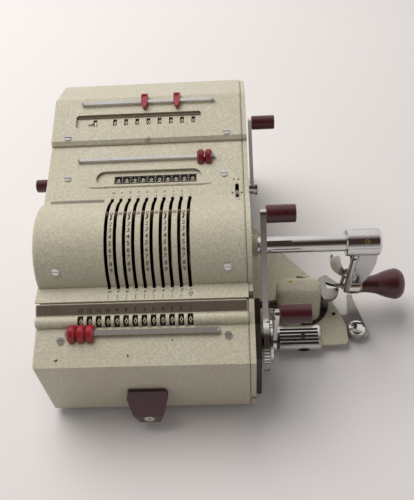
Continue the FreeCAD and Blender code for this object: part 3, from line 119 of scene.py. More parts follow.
class CalculatorColours(bpy.types.PropertyGroup):
    paint: FloatVectorProperty(
        name="Paint", description="Hammertone enamel of the case", subtype="COLOR", size=3,
        default=(0.545, 0.505, 0.395))
    burgundy: FloatVectorProperty(
        name="Burgundy", description="Moulded finger grips", subtype="COLOR", size=3,
        default=(0.060, 0.0085, 0.0115))
    red: FloatVectorProperty(
        name="Red", description="Sliding markers of the carriage", subtype="COLOR", size=3,
        default=(0.31, 0.012, 0.022))
    dusty_red: FloatVectorProperty(
        name="Dusty red", description="Pointers of the counter register", subtype="COLOR", size=3,
        default=(0.30, 0.050, 0.060))
    chrome: FloatVectorProperty(
        name="Chrome", description="Plated levers, tube and rails", subtype="COLOR", size=3,
        default=(0.70, 0.69, 0.68))
    steel: FloatVectorProperty(
        name="Steel", description="Dull plated steel", subtype="COLOR", size=3, default=(0.36, 0.34, 0.31))
    cream: FloatVectorProperty(
        name="Cream", description="Figures on the dials", subtype="COLOR", size=3, default=(0.80, 0.72, 0.50))
    floor: FloatVectorProperty(
        name="Floor", description="Table and backdrop", subtype="COLOR", size=3, default=(0.84, 0.80, 0.785))


class CalculatorLight(bpy.types.PropertyGroup):
    key: FloatProperty(name="Key", description="Power of the large lamp above the back", default=27.0, min=0)
    fill: FloatProperty(name="Fill", description="Power of the lamp in front", default=0.8, min=0)
    sky: FloatProperty(name="Sky", description="Strength of the plain light all round", default=0.23, min=0)


# Materials
class Finish:
    """A Principled material under construction, with short calls for its nodes."""

    def __init__(self, name, metallic=0.0, roughness=0.5, specular=0.5, coat=0.0, coat_roughness=0.1):
        self.material = bpy.data.materials.new(name)
        self.material.use_nodes = True
        self.tree = self.material.node_tree
        self.shader = self.tree.nodes["Principled BSDF"]
        self.place = self.add("ShaderNodeTexCoord").outputs["Object"]
        self.shader.inputs["Metallic"].default_value = metallic
        self.shader.inputs["Roughness"].default_value = roughness
        self.shader.inputs["Specular IOR Level"].default_value = specular
        self.shader.inputs["Coat Weight"].default_value = coat
        self.shader.inputs["Coat Roughness"].default_value = coat_roughness

    def add(self, kind, **settings):
        node = self.tree.nodes.new(kind)
        for name, value in settings.items():
            setattr(node, name, value)
        return node

    def feed(self, socket, value):
        """Links an output to an input, or sets the input to a number or colour."""
        if isinstance(value, bpy.types.NodeSocket):
            self.tree.links.new(value, socket)
        elif isinstance(value, (tuple, list)) and len(value) == 3 and socket.type == "RGBA":
            socket.default_value = (*value, 1.0)
        else:
            socket.default_value = value

    def stretched(self, scale, turn):
        """The piece's own coordinates, turned and drawn out."""
        node = self.add("ShaderNodeMapping")
        self.feed(node.inputs["Vector"], self.place)
        self.feed(node.inputs["Scale"], scale)
        self.feed(node.inputs["Rotation"], turn)
        return node.outputs["Vector"]

    def noise(self, scale, detail=2.0, roughness=0.5, distortion=0.0, vector=None):
        node = self.add("ShaderNodeTexNoise")
        self.feed(node.inputs["Vector"], vector or self.place)
        for name, value in (("Scale", scale), ("Detail", detail), ("Roughness", roughness),
                            ("Distortion", distortion)):
            self.feed(node.inputs[name], value)
        return node.outputs["Fac"]

    def cells(self, scale, smoothness, vector):
        node = self.add("ShaderNodeTexVoronoi", feature="SMOOTH_F1")
        self.feed(node.inputs["Vector"], vector)
        self.feed(node.inputs["Scale"], scale)
        self.feed(node.inputs["Smoothness"], smoothness)
        return node.outputs["Distance"]

    def scaled(self, value, low, high, to_low=0.0, to_high=1.0):
        """A value between low and high, spread over the new limits and held within them."""
        node = self.add("ShaderNodeMapRange", clamp=True)
        for name, number in (("Value", value), ("From Min", low), ("From Max", high), ("To Min", to_low),
                             ("To Max", to_high)):
            self.feed(node.inputs[name], number)
        return node.outputs["Result"]

    def combine(self, operation, a, b):
        node = self.add("ShaderNodeMath", operation=operation)
        self.feed(node.inputs[0], a)
        self.feed(node.inputs[1], b)
        return node.outputs[0]

    def mix(self, share, a, b):
        node = self.add("ShaderNodeMix", data_type="RGBA")
        self.feed(node.inputs["Factor"], share)
        self.feed(node.inputs[6], a)
        self.feed(node.inputs[7], b)
        return node.outputs[2]

    def bump(self, height, depth, strength):
        node = self.add("ShaderNodeBump")
        self.feed(node.inputs["Height"], height)
        self.feed(node.inputs["Distance"], depth)
        self.feed(node.inputs["Strength"], strength)
        return node.outputs["Normal"]

    def edges(self, radius, low=0.02, high=0.25):
        """Share of paler edge, from 0 on flats to 1 on sharp outer edges: partly wear and partly a painted
        highlight.
        """
        round_normal = self.add("ShaderNodeBevel", samples=4)
        self.feed(round_normal.inputs["Radius"], radius)
        flat_normal = self.add("ShaderNodeNewGeometry").outputs["Normal"]
        dot = self.add("ShaderNodeVectorMath", operation="DOT_PRODUCT")
        self.feed(dot.inputs[0], round_normal.outputs["Normal"])
        self.feed(dot.inputs[1], flat_normal)
        return self.scaled(self.combine("SUBTRACT", 1.0, dot.outputs["Value"]), low, high)

    def result(self, **sockets):
        """The material, once the shader's own sockets are fed. Their names have underscores here."""
        for name, value in sockets.items():
            self.feed(self.shader.inputs[name.replace("_", " ").title()], value)
        return self.material


def shaded(colour, share, lift=0.0):
    """A darker or paler colour, no brighter than white."""
    return tuple(min(1.0, c * share + lift) for c in colour)


def hammertone(colour):
    """Satin enamel with shallow hammered cells, cloudy tone, small dark chips and paler edges, partly worn
    paint and partly a painted highlight.
    """
    finish = Finish("case_paint", roughness=0.4, specular=0.45, coat=0.25, coat_roughness=0.22)
    cell_scale, fine_scale, drift_scale, drift_reach = 470.0, 1500.0, 260.0, 0.0016
    bent = finish.add("ShaderNodeVectorMath", operation="ADD")
    finish.feed(bent.inputs[0], finish.place)
    drift = finish.add("ShaderNodeTexNoise")
    finish.feed(drift.inputs["Vector"], finish.place)
    finish.feed(drift.inputs["Scale"], drift_scale)
    shift = finish.add("ShaderNodeVectorMath", operation="SCALE")
    finish.feed(shift.inputs[0], drift.outputs["Color"])
    finish.feed(shift.inputs["Scale"], drift_reach)
    finish.feed(bent.inputs[1], shift.outputs["Vector"])
    cell = finish.cells(cell_scale, 0.75, bent.outputs["Vector"])
    fine = finish.noise(fine_scale, 2.0, 0.55)
    height = finish.combine("ADD", cell, finish.combine("MULTIPLY", fine, 0.35))
    tone = finish.scaled(height, 0.25, 0.85)
    base = finish.mix(tone, shaded(colour, 0.83), shaded(colour, 1.10))
    cloud = finish.scaled(finish.noise(14.0, 3.0, 0.6), 0.35, 0.75)
    warm = (colour[0] * 0.93, colour[1] * 0.89, colour[2] * 0.78)
    base = finish.mix(finish.combine("MULTIPLY", cloud, 0.45), base, warm)
    # Paler edges from the bevel mask: partly worn paint, partly a painted highlight along the edges
    edge_radius, worn_and_lit_edge_tone, chip_tone = 0.0012, (0.66, 0.62, 0.52), (0.060, 0.050, 0.042)
    patches = finish.scaled(finish.noise(90.0, 3.0), 0.38, 0.62)
    edge_wear_and_highlight = finish.combine("MULTIPLY", finish.edges(edge_radius), patches)
    base = finish.mix(finish.combine("MULTIPLY", edge_wear_and_highlight, 0.55), base, worn_and_lit_edge_tone)
    chips = finish.scaled(finish.noise(95.0, 1.0, 0.4, 0.6), 0.822, 0.832)
    base = finish.mix(chips, base, chip_tone)
    sheen = finish.scaled(fine, 0.3, 0.7, 0.34, 0.46)
    cell_depth = 0.00034
    return finish.result(base_color=base, roughness=sheen, normal=finish.bump(height, cell_depth, 0.75))


def plated(name, colour, roughness, scratch=0.35, haze=0.08):
    """Plated metal with fine scratches in two directions and cloudy haze."""
    finish = Finish(name, metallic=1.0, specular=0.5)
    along = finish.stretched((300.0, 4200.0, 3800.0), (0.3, 0.2, 0.1))
    across = finish.stretched((4500.0, 500.0, 700.0), (0.1, 0.5, 0.3))
    fine = finish.noise(1.0, 2.0, 0.6, 0.0, along)
    cross = finish.noise(1.0, 2.0, 0.6, 0.0, across)
    marks = finish.scaled(finish.combine("MAXIMUM", fine, cross), 0.66, 0.78)
    cloud = finish.noise(55.0, 4.0, 0.6)
    hazy = finish.scaled(cloud, 0.35, 0.7, roughness, roughness + haze)
    rough = finish.combine("ADD", hazy, finish.combine("MULTIPLY", marks, scratch * 0.4))
    base = finish.mix(finish.scaled(cloud, 0.45, 0.8, 0.0, 0.5), colour, shaded(colour, 0.72))
    # Paler edges from the bevel mask: partly rubbed plating, partly a painted highlight
    edge_wear_and_highlight = finish.combine("MULTIPLY", finish.edges(0.0004), 0.4)
    base = finish.mix(edge_wear_and_highlight, base, shaded(colour, 1.3))
    return finish.result(base_color=base, roughness=rough, normal=finish.bump(marks, 0.00002, 0.25))


def moulded(name, colour, roughness, coat):
    """Moulded plastic with soft swirls, polishing marks and paler edges, partly rubbed and partly a painted
    highlight.
    """
    finish = Finish(name, specular=0.5, coat=coat, coat_roughness=0.12)
    swirl = finish.noise(45.0, 3.0, 0.55, 0.5)
    fine = finish.noise(2600.0, 2.0, 0.5)
    base = finish.mix(finish.scaled(swirl, 0.3, 0.7), shaded(colour, 0.86), shaded(colour, 1.14, 0.002))
    patches = finish.scaled(finish.noise(240.0, 3.0), 0.4, 0.65)
    # Paler edges from the bevel mask: partly rubbed plastic, partly a painted highlight
    edge_wear_and_highlight = finish.combine("MULTIPLY", finish.edges(0.0006), patches)
    base = finish.mix(finish.combine("MULTIPLY", edge_wear_and_highlight, 0.35), base, shaded(colour, 2.4, 0.03))
    rough = finish.scaled(finish.noise(160.0, 4.0, 0.6), 0.3, 0.7, roughness * 0.8, roughness * 1.35)
    return finish.result(base_color=base, roughness=rough, normal=finish.bump(fine, 0.00003, 0.3))


def printed(name, colour, gap):
    """Thin matt print with small worn gaps, each a share of the way to a middle tone."""
    finish = Finish(name, specular=0.3)
    wear = finish.scaled(finish.noise(1400.0, 3.0, 0.6), 0.50, 0.75)
    middle_tone = 0.30
    worn = tuple(c + (middle_tone - c) * gap for c in colour)
    base = finish.mix(wear, colour, worn)
    return finish.result(base_color=base, roughness=finish.scaled(wear, 0.0, 1.0, 0.5, 0.7))


def dial_black():
    """Satin black of the dials, with a little dust."""
    finish = Finish("dial_black", specular=0.35)
    dust = finish.scaled(finish.noise(700.0, 3.0), 0.55, 0.75)
    base = finish.mix(finish.combine("MULTIPLY", dust, 0.4), (0.007, 0.007, 0.007), (0.05, 0.045, 0.04))
    return finish.result(base_color=base, roughness=finish.scaled(dust, 0.0, 1.0, 0.42, 0.6))


def rubber():
    """Grainy black rubber of the feet."""
    finish = Finish("foot_rubber", specular=0.2)
    grain = finish.noise(900.0, 3.0)
    base = finish.mix(finish.scaled(grain, 0.4, 0.7), (0.014, 0.014, 0.013), (0.045, 0.043, 0.04))
    rough = finish.scaled(grain, 0.3, 0.7, 0.7, 0.9)
    return finish.result(base_color=base, roughness=rough, normal=finish.bump(grain, 0.00008, 0.4))


def make_materials(colours):
    """Every finish, by the name of its slot in the record or of the piece that wears it."""
    steel = tuple(colours.steel)
    return {
        "case_paint": hammertone(tuple(colours.paint)),
        "bright_chrome": plated("bright_chrome", tuple(colours.chrome), 0.06),
        "frame_steel": plated("frame_steel", steel, 0.30, 0.5, 0.14),
        "dark_steel": plated("dark_steel", (0.075, 0.066, 0.058), 0.38, 0.5, 0.16),
        "strip_metal": plated("strip_metal", (0.36, 0.30, 0.24), 0.48, 0.5, 0.12),
        "brass_part": plated("brass_part", (0.55, 0.40, 0.16), 0.24, 0.4, 0.12),
        "dial_black": dial_black(),
        "foot_rubber": rubber(),
        "grip_burgundy": moulded("grip_burgundy", tuple(colours.burgundy), 0.30, 0.35),
        "marker_red": moulded("marker_red", tuple(colours.red), 0.24, 0.4),
        "pointer_red": moulded("pointer_red", tuple(colours.dusty_red), 0.42, 0.05),
        "lever_bronze": plated("lever_bronze", (0.30, 0.205, 0.14), 0.34, 0.5, 0.14),
        "disc_red": moulded("disc_red", (0.20, 0.010, 0.022), 0.26, 0.4),
        "print_dark": printed("print_dark", (0.018, 0.016, 0.015), 0.25),
        "print_faint": printed("print_faint", (0.23, 0.21, 0.18), 0.8),
        "figure_cream": printed("figure_cream", tuple(colours.cream), 0.3),
        "inlay_pale": printed("inlay_pale", (0.62, 0.58, 0.52), 0.2),
        "plate_dull": plated("plate_dull", (0.40, 0.37, 0.31), 0.36, 0.5, 0.16),
    }


FINISHES = {}


def dress(piece, finish):
    """Puts one finish on the whole of a piece."""
    piece.data.materials.clear()
    piece.data.materials.append(FINISHES[finish])


class CALCULATOR_OT_finishes(bpy.types.Operator):
    """Makes the materials and puts them on every piece of the frame"""

    bl_idname = "calculator.finishes"
    bl_label = "Finishes"

    def execute(self, context):
        FINISHES.update(make_materials(context.scene.calculator_colours))
        for name, node in NODES.items():
            dress(node, SLOT_OF[name])
        for number in range(1, SLOTS + 1):
            dress(NODES["setting_lever_%d" % number], "lever_bronze")
        for name, finish in (("pinwheel_drum", "dark_steel"), ("setting_marker_1", "disc_red"),
                             ("setting_marker_2", "disc_red")):
            dress(NODES[name], finish)
        return {"FINISHED"}


def middle(node):
    """Middle of a node's box."""
    low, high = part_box(node)
    return (low + high) / 2


# Meshes
def mesh_piece(name, mesh, finish, body):
    """An object at the origin from a finished mesh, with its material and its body."""
    piece = bpy.data.objects.new(name, mesh)
    bpy.context.collection.objects.link(piece)
    dress(piece, finish)
    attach(piece, body)


def built(name, shape, smooth=False):
    """Plain mesh from a bmesh, with merged doubles and outward faces."""
    bmesh.ops.remove_doubles(shape, verts=shape.verts, dist=1e-7)
    bmesh.ops.recalc_face_normals(shape, faces=shape.faces)
    mesh = bpy.data.meshes.new(name)
    shape.to_mesh(mesh)
    shape.free()
    if smooth:
        mesh.shade_smooth()
    else:
        mesh.shade_flat()
    return mesh


def joined(name, meshes):
    """One mesh from several, which are removed."""
    shape = bmesh.new()
    for mesh in meshes:
        shape.from_mesh(mesh)
        bpy.data.meshes.remove(mesh)
    mesh = bpy.data.meshes.new(name)
    shape.to_mesh(mesh)
    shape.free()
    return mesh


def figure(text, height, width=None, slant=0.0, depth=PRINT, cuts=0, bold=0.0):
    """Closed thin solid of a printed number in millimetres, centred on its own zero. Cuts let it bend."""
    curve = bpy.data.curves.new("figure", "FONT")
    curve.body = text
    curve.size = 10.0
    curve.shear = slant
    curve.extrude = 1.0
    curve.offset = bold
    curve.resolution_u = 1 if len(text) == 1 and not slant else 2
    piece = bpy.data.objects.new("figure", curve)
    bpy.context.collection.objects.link(piece)
    graph = bpy.context.evaluated_depsgraph_get()
    mesh = bpy.data.meshes.new_from_object(piece.evaluated_get(graph))
    bpy.data.objects.remove(piece)
    bpy.data.curves.remove(curve)
    low = Vector([min(v.co[i] for v in mesh.vertices) for i in range(3)])
    high = Vector([max(v.co[i] for v in mesh.vertices) for i in range(3)])
    tall = height / (high.y - low.y)
    wide = width / (high.x - low.x) if width else tall
    for vertex in mesh.vertices:
        place = vertex.co - (low + high) / 2
        vertex.co = Vector((place.x * wide, place.y * tall, place.z * depth / 2 + depth / 2))
    shape = bmesh.new()
    shape.from_mesh(mesh)
    bpy.data.meshes.remove(mesh)
    for i in range(cuts):
        level = height * ((i + 1) / (cuts + 1) - 0.5)
        everything = shape.verts[:] + shape.edges[:] + shape.faces[:]
        bmesh.ops.bisect_plane(shape, geom=everything, plane_co=(0, level, 0), plane_no=(0, 1, 0))
    return built("figure", shape)


def moved(mesh, matrix):
    """Places a mesh given in millimetres by a frame of the row, in metres."""
    mesh.transform(matrix @ Matrix.Scale(MM, 4))
    return mesh


class Ground:
    """Surface of a node, seen from above."""

    def __init__(self, node):
        graph = bpy.context.evaluated_depsgraph_get()
        self.node = node
        self.tree = BVHTree.FromObject(NODES[node], graph)

    def frame(self, x, y, turn=0.0, lift=LIFT):
        """Frame on the surface under a place of the case: X along the case, Z out of the surface."""
        hit, normal, _, _ = self.tree.ray_cast(at(x, y, ABOVE), Vector((0, 0, -1)))
        if hit is None:
            raise RuntimeError("nothing of %s lies under %.1f, %.1f" % (self.node, x, y))
        if normal.z < 0:
            normal = -normal
        along = (Vector((1, 0, 0)) - normal * normal.x).normalized()
        up = normal.cross(along)
        axes = Matrix((along, up, normal)).transposed().to_4x4()
        spot = hit + normal * lift * MM
        return Matrix.Translation(spot) @ axes @ Matrix.Rotation(turn, 4, "Z")


def on_arc(mesh, radius, centre, angle):
    """Bends a flat figure round a shaft along X, with its middle at an angle from straight back."""
    y0, z0 = centre
    for vertex in mesh.vertices:
        turn = math.radians(angle) - vertex.co.y / radius
        reach = radius + LIFT + vertex.co.z
        place = at(0, y0 + reach * math.cos(turn), z0 + reach * math.sin(turn))
        vertex.co = Vector((at(vertex.co.x, 0, 0).x, place.y, place.z))
    return mesh


def circle(radius, sides):
    """Corners of a regular outline round zero."""
    turns = [2 * math.pi * i / sides for i in range(sides)]
    return [(radius * math.cos(turn), radius * math.sin(turn)) for turn in turns]


def walls(shape, rings, closed=False):
    """Faces from each ring of corners to the next, and from the last to the first where closed."""
    following = rings[1:] + rings[:1] if closed else rings[1:]
    for near, far in zip(rings, following):
        for i in range(len(near)):
            k = (i + 1) % len(near)
            shape.faces.new((near[i], near[k], far[k], far[i]))


# Angles of the rings on a domed top, from its edge to its tip
DOME_TURNS = (0.4, 0.8, 1.15)


def disc(radius, height, sides, dome=0.0):
    """Round stud in millimetres, with a domed top where dome is above zero."""
    shape = bmesh.new()
    rings = [(radius, 0.0), (radius, height)]
    if dome:
        rings += [(radius * math.cos(turn), height + dome * math.sin(turn)) for turn in DOME_TURNS]
    loops = []
    for reach, z in rings:
        loops.append([shape.verts.new((x, y, z)) for x, y in circle(reach, sides)])
    shape.faces.new(list(reversed(loops[0])))
    walls(shape, loops)
    if dome:
        tip = shape.verts.new((0, 0, height + dome))
        for i in range(sides):
            shape.faces.new((loops[-1][i], loops[-1][(i + 1) % sides], tip))
    else:
        shape.faces.new(loops[-1])
    return built("disc", shape)


def bar(width, depth, height, bevel):
    """Plain bar in millimetres on its own zero, with softened edges."""
    shape = bmesh.new()
    bmesh.ops.create_cube(shape, size=1.0)
    for vertex in shape.verts:
        vertex.co = Vector((vertex.co.x * width, vertex.co.y * depth, (vertex.co.z + 0.5) * height))
    if bevel:
        bmesh.ops.bevel(shape, geom=shape.edges[:], offset=bevel, segments=2, affect="EDGES", profile=0.6)
    return built("bar", shape)


def outline_solid(points, depth):
    """Thin closed solid from an outline in millimetres."""
    shape = bmesh.new()
    low = [shape.verts.new((x, y, 0)) for x, y in points]
    high = [shape.verts.new((x, y, depth)) for x, y in points]
    shape.faces.new(list(reversed(low)))
    shape.faces.new(high)
    walls(shape, [low, high])
    return built("outline", shape)


# Rows
def row_tree():
    """Geometry Nodes tree that repeats its own geometry along a straight row."""
    tree = bpy.data.node_groups.new("row", "GeometryNodeTree")
    for name, kind in (("Geometry", "NodeSocketGeometry"), ("Count", "NodeSocketInt"),
                       ("Step", "NodeSocketVector"), ("Finish", "NodeSocketMaterial")):
        tree.interface.new_socket(name, in_out="INPUT", socket_type=kind)
    tree.interface.new_socket("Geometry", in_out="OUTPUT", socket_type="NodeSocketGeometry")
    given = tree.nodes.new("NodeGroupInput").outputs
    line = tree.nodes.new("GeometryNodeMeshLine")
    line.mode = "OFFSET"
    copies = tree.nodes.new("GeometryNodeInstanceOnPoints")
    solid = tree.nodes.new("GeometryNodeRealizeInstances")
    dressed = tree.nodes.new("GeometryNodeSetMaterial")
    result = tree.nodes.new("NodeGroupOutput")
    for source, target in (
            (given["Count"], line.inputs["Count"]), (given["Step"], line.inputs["Offset"]),
            (line.outputs["Mesh"], copies.inputs["Points"]), (given["Geometry"], copies.inputs["Instance"]),
            (copies.outputs["Instances"], solid.inputs["Geometry"]),
            (solid.outputs["Geometry"], dressed.inputs["Geometry"]),
            (given["Finish"], dressed.inputs["Material"]), (dressed.outputs["Geometry"], result.inputs[0])):
        tree.links.new(source, target)
    return tree


def row(name, mesh, count, pitch, finish, body):
    """One mesh repeated to the left with a pitch in millimetres, as a plain mesh."""
    tree = bpy.data.node_groups.get("row") or row_tree()
    piece = bpy.data.objects.new(name, mesh)
    bpy.context.collection.objects.link(piece)
    modifier = piece.modifiers.new("row", "NODES")
    modifier.node_group = tree
    sockets = {item.name: item.identifier for item in tree.interface.items_tree if item.in_out == "INPUT"}
    modifier[sockets["Count"]] = count
    modifier[sockets["Step"]] = (-pitch * MM, 0.0, 0.0)
    modifier[sockets["Finish"]] = FINISHES[finish]
    graph = bpy.context.evaluated_depsgraph_get()
    solid = bpy.data.meshes.new_from_object(piece.evaluated_get(graph))
    piece.modifiers.remove(modifier)
    piece.data = solid
    dress(piece, finish)
    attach(piece, body)


# Printed numbers and lines. A bar is given by width, depth, height and bevel, a disc by radius, height,
# sides and dome, and a shift is to the right of the slot or window that the print belongs to.
UPPER_FIGURE = {"height": 2.3, "slant": 0.35}
UPPER_SHIFT = 0.4
UPPER_NUMBERS_Y = 148.2
LOWER_FIGURE = {"height": 2.8, "slant": 0.45, "bold": 0.10}
LOWER_SHIFT = 0.3
LOWER_NUMBERS_Y = 59.7
PLACE_LINE = (0.42, 4.8, PRINT, 0)
PLACE_LINES_Y = 54.3
SLOT_DASH = (0.45, 1.9, PRINT, 0)
DASH_SHIFT = 0.8
SLOT_DASHES_Y = 143.9
DASH_TURN = math.radians(-12)
TRIANGLE_SHIFT = 0.5
TRIANGLE = [(-2.1, 2.0), (2.1, 2.0), (0.0, -2.2)]
TRIANGLE_Y = 54.9
TRIANGLE_HOLE = 0.62
TRIANGLE_HOLE_RISE = 0.6


def print_piece(name, mesh, body="root"):
    """Dark print on one body."""
    mesh_piece(name, mesh, "print_dark", body)


def print_row(name, mesh, count, pitch):
    """Dark print repeated along the fixed covers."""
    row(name, mesh, count, pitch, "print_dark", "root")


class CALCULATOR_OT_prints(bpy.types.Operator):
    """Prints the place numbers, lines and dashes beside the slots"""

    bl_idname = "calculator.prints"
    bl_label = "Printed numbers"

    def execute(self, context):
        cover, ledge = Ground("setting_cover"), Ground("index_strip")
        upper, lower = [], []
        for i in range(SLOTS):
            x = SLOT_X - SLOT_PITCH * i
            place = str(i + 1)
            above = cover.frame(x + UPPER_SHIFT, UPPER_NUMBERS_Y)
            upper.append(moved(figure(place, **UPPER_FIGURE), above))
            below = ledge.frame(x + LOWER_SHIFT, LOWER_NUMBERS_Y)
            lower.append(moved(figure(place, **LOWER_FIGURE), below))
        print_piece("upper_place_numbers", joined("upper", upper))
        print_piece("lower_place_numbers", joined("lower", lower))
        line = moved(bar(*PLACE_LINE), ledge.frame(SLOT_X - SLOT_PITCH, PLACE_LINES_Y))
        print_row("place_lines", line, SLOTS - 1, SLOT_PITCH)
        dash = moved(bar(*SLOT_DASH), cover.frame(SLOT_X + DASH_SHIFT, SLOT_DASHES_Y, DASH_TURN))
        print_row("slot_dashes", dash, SLOTS, SLOT_PITCH)
        spot = ledge.frame(SLOT_X + TRIANGLE_SHIFT, TRIANGLE_Y)
        print_piece("unit_triangle", moved(self.triangle(), spot))
        return {"FINISHED"}

    def triangle(self):
        """Outlined triangle that points down at the units place."""
        shape = bmesh.new()
        rings = []
        for z in (0.0, PRINT):
            for share in (1.0, TRIANGLE_HOLE):
                rise = (1 - share) * TRIANGLE_HOLE_RISE
                rings.append([shape.verts.new((x * share, y * share + rise, z)) for x, y in TRIANGLE])
        low_out, low_in, high_out, high_in = rings
        walls(shape, [low_out, low_in, high_in, high_out], closed=True)
        return built("triangle", shape)


SCALE_FIGURE = {"height": 3.9, "width": 2.5, "slant": 0.12, "cuts": 1, "bold": 0.08}
SCALE_PATCH = (3.0, 3.6, PRINT, 0)
SCALE_DIAMOND = [(-1.0, 0.5), (0.0, 1.2), (1.0, 0.5), (0.0, -1.4)]


class CALCULATOR_OT_scales(bpy.types.Operator):
    """Prints the figures 0 to 9 between the slots, in step with the lever tips, and faint patches between the
    other slots
    """

    bl_idname = "calculator.scales"
    bl_label = "Figure scales"

    def execute(self, context):
        strip = []
        for digit in range(10):
            angle = ZERO_ANGLE + digit * STEP_ANGLE
            shape = figure(str(digit), **SCALE_FIGURE)
            strip.append(on_arc(shape, HUMP_R, HUMP_AXIS, angle))
        mark = outline_solid(SCALE_DIAMOND, PRINT)
        strip.append(on_arc(mark, HUMP_R, HUMP_AXIS, ZERO_ANGLE + STEP_ANGLE * 0.5))
        scale = joined("scale", strip)
        scale.transform(Matrix.Translation(Vector((SLOT_X - SLOT_PITCH / 2, 0, 0)) * MM))
        print_row("figure_scales", scale, SLOTS // 2, 2 * SLOT_PITCH)
        patch = on_arc(bar(*SCALE_PATCH), HUMP_R, HUMP_AXIS, ZERO_ANGLE)
        patch.transform(Matrix.Translation(Vector((SLOT_X - SLOT_PITCH * 1.5, 0, 0)) * MM))
        row("scale_marks", patch, SLOTS // 2 - 1, 2 * SLOT_PITCH, "print_faint", "root")
        return {"FINISHED"}


# Dials: the angle of the figure that shows, from straight back, and the size of the figures
RESULT_LOOK = {"angle": 128.2, "height": 5.6, "width": 2.9}
COUNTER_LOOK = {"angle": 101.8, "height": 4.7, "width": 2.6}
CHECK_LOOK = {"angle": 98.2, "height": 3.9, "width": 2.7}
DIAL_FIGURE = {"depth": 0.08, "cuts": 3, "bold": 0.05}
NARROW_ONE = 0.62
DIGIT_ANGLE = 36.0


def dial_shape(node):
    """Middle of the dials in Y and Z, and their radius, in millimetres of the case."""
    low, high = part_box(node)
    centre = ((low + high) / 2 - CASE) / MM
    return (centre.y, centre.z), (high.z - low.z) / 2 / MM


class CALCULATOR_OT_dials(bpy.types.Operator):
    """Puts the cream figures on the dials of the three registers"""

    bl_idname = "calculator.dials"
    bl_label = "Dial figures"

    def execute(self, context):
        self.figures("result_figures", "result_dials", RESULT_LOOK, BEAD_X, BEAD_PITCH, BEAD_COUNT)
        self.figures("counter_figures", "counter_dials", COUNTER_LOOK, COUNTER_X - COUNTER_PITCH,
                     COUNTER_PITCH, COUNTER_COUNT - 1)
        self.figures("counter_units_figures", "counter_units_dial", COUNTER_LOOK, COUNTER_X)
        self.figures("counter_left_figures", "counter_dials", COUNTER_LOOK, COUNTER_LEFT_X, first=1)
        self.figures("check_figures", "check_dials", CHECK_LOOK, CHECK_X, CHECK_PITCH, SLOTS)
        return {"FINISHED"}

    def figures(self, name, node, look, x, pitch=COUNTER_PITCH, count=1, first=0):
        """Ten figures round each dial of a row, with the first one in the window."""
        centre, radius = dial_shape(node)
        ring = []
        for step in range(10):
            digit = (step + first) % 10
            width = look["width"] * (NARROW_ONE if digit == 1 else 1.0)
            shape = figure(str(digit), look["height"], width, **DIAL_FIGURE)
            ring.append(on_arc(shape, radius, centre, look["angle"] + DIGIT_ANGLE * step))
        mesh = joined("ring", ring)
        mesh.transform(Matrix.Translation(Vector((x * MM, 0, 0))))
        row(name, mesh, count, pitch, "figure_cream", BODY_OF[node])


BLIND = (5.5, 2.9, 0.22, 0)
BLIND_GAP = 0.32
BLIND_TURN = 27.5
SURROUND = (7.3, 8.6)
APERTURE = (4.5, 6.1)
SURROUND_Y = 164.5


class CALCULATOR_OT_blinds(bpy.types.Operator):
    """Hangs black blinds round the figure in each window of the bead, and frames the check apertures"""

    bl_idname = "calculator.blinds"
    bl_label = "Blinds and surrounds"

    def execute(self, context):
        centre, radius = dial_shape("result_dials")
        blinds = []
        for side in (-1, 1):
            angle = RESULT_LOOK["angle"] + side * BLIND_TURN
            blinds.append(on_arc(bar(*BLIND), radius + BLIND_GAP, centre, angle))
        mesh = joined("blinds", blinds)
        mesh.transform(Matrix.Translation(Vector((BEAD_X * MM, 0, 0))))
        row("window_blinds", mesh, BEAD_COUNT, BEAD_PITCH, "dial_black", "carriage")
        half_pitch = CHECK_PITCH / 2
        spot = Ground("register_masks").frame(CHECK_X + half_pitch, SURROUND_Y)
        spot = Matrix.Translation(Vector((-half_pitch * MM, 0, 0))) @ spot
        print_row("check_surrounds", moved(self.surround(), spot), SLOTS, CHECK_PITCH)
        return {"FINISHED"}

    def surround(self):
        """Flat rectangular band round one aperture."""
        corners = ((-1, -1), (1, -1), (1, 1), (-1, 1))
        shape = bmesh.new()
        rings = []
        for (width, height), z in ((SURROUND, 0), (SURROUND, PRINT), (APERTURE, PRINT), (APERTURE, 0)):
            rings.append([shape.verts.new((x * width / 2, y * height / 2, z)) for x, y in corners])
        walls(shape, rings, closed=True)
        return built("surround", shape)


# Trim of the covers
STRIP_Y = 44.8
STRIP_THICK = 0.35
STRIP = (177.0, 8.6, STRIP_THICK, 0.12)
STRIP_FIGURE = {"height": 3.3, "bold": 0.28}
STRIP_NUMBERS_Y = 43.9


class CALCULATOR_OT_number_strip(bpy.types.Operator):
    """Lays the dull metal strip behind the bead, with the place numbers of the carriage"""

    bl_idname = "calculator.number_strip"
    bl_label = "Number strip"

    def execute(self, context):
        ground = Ground("carriage_cover")
        strip = moved(bar(*STRIP), ground.frame(0.0, STRIP_Y))
        mesh_piece("number_strip", strip, "strip_metal", "carriage")
        numbers = []
        for i in range(BEAD_COUNT):
            spot = ground.frame(BEAD_X - BEAD_PITCH * i, STRIP_NUMBERS_Y, lift=STRIP_THICK + LIFT)
            numbers.append(moved(figure(str(i + 1), **STRIP_FIGURE), spot))
        print_piece("carriage_numbers", joined("numbers", numbers), "carriage")
        return {"FINISHED"}


RIDGE_LEFT = -52.0
RIDGE_RIGHT = 61.6
RIDGE_WIDE = 3.4
RIDGE_HIGH = 1.25
RIDGE_STEPS = 60
RIDGE_SIDES = 8
RIDGE_SUNK = 0.02
RIDGE_END = 0.02
RIDGE_Y = 155.6
RIDGE_LEFT_TAPER = 16
RIDGE_RIGHT_TAPER = 12
NAMEPLATE = (48.0, 11.5, 0.5, 0.2)
NAMEPLATE_PLACE = (-59.0, 138.8)
STUD = (2.5, 1.0, 28, 0.7)
STUD_PLACE = (0.8, 205.2)


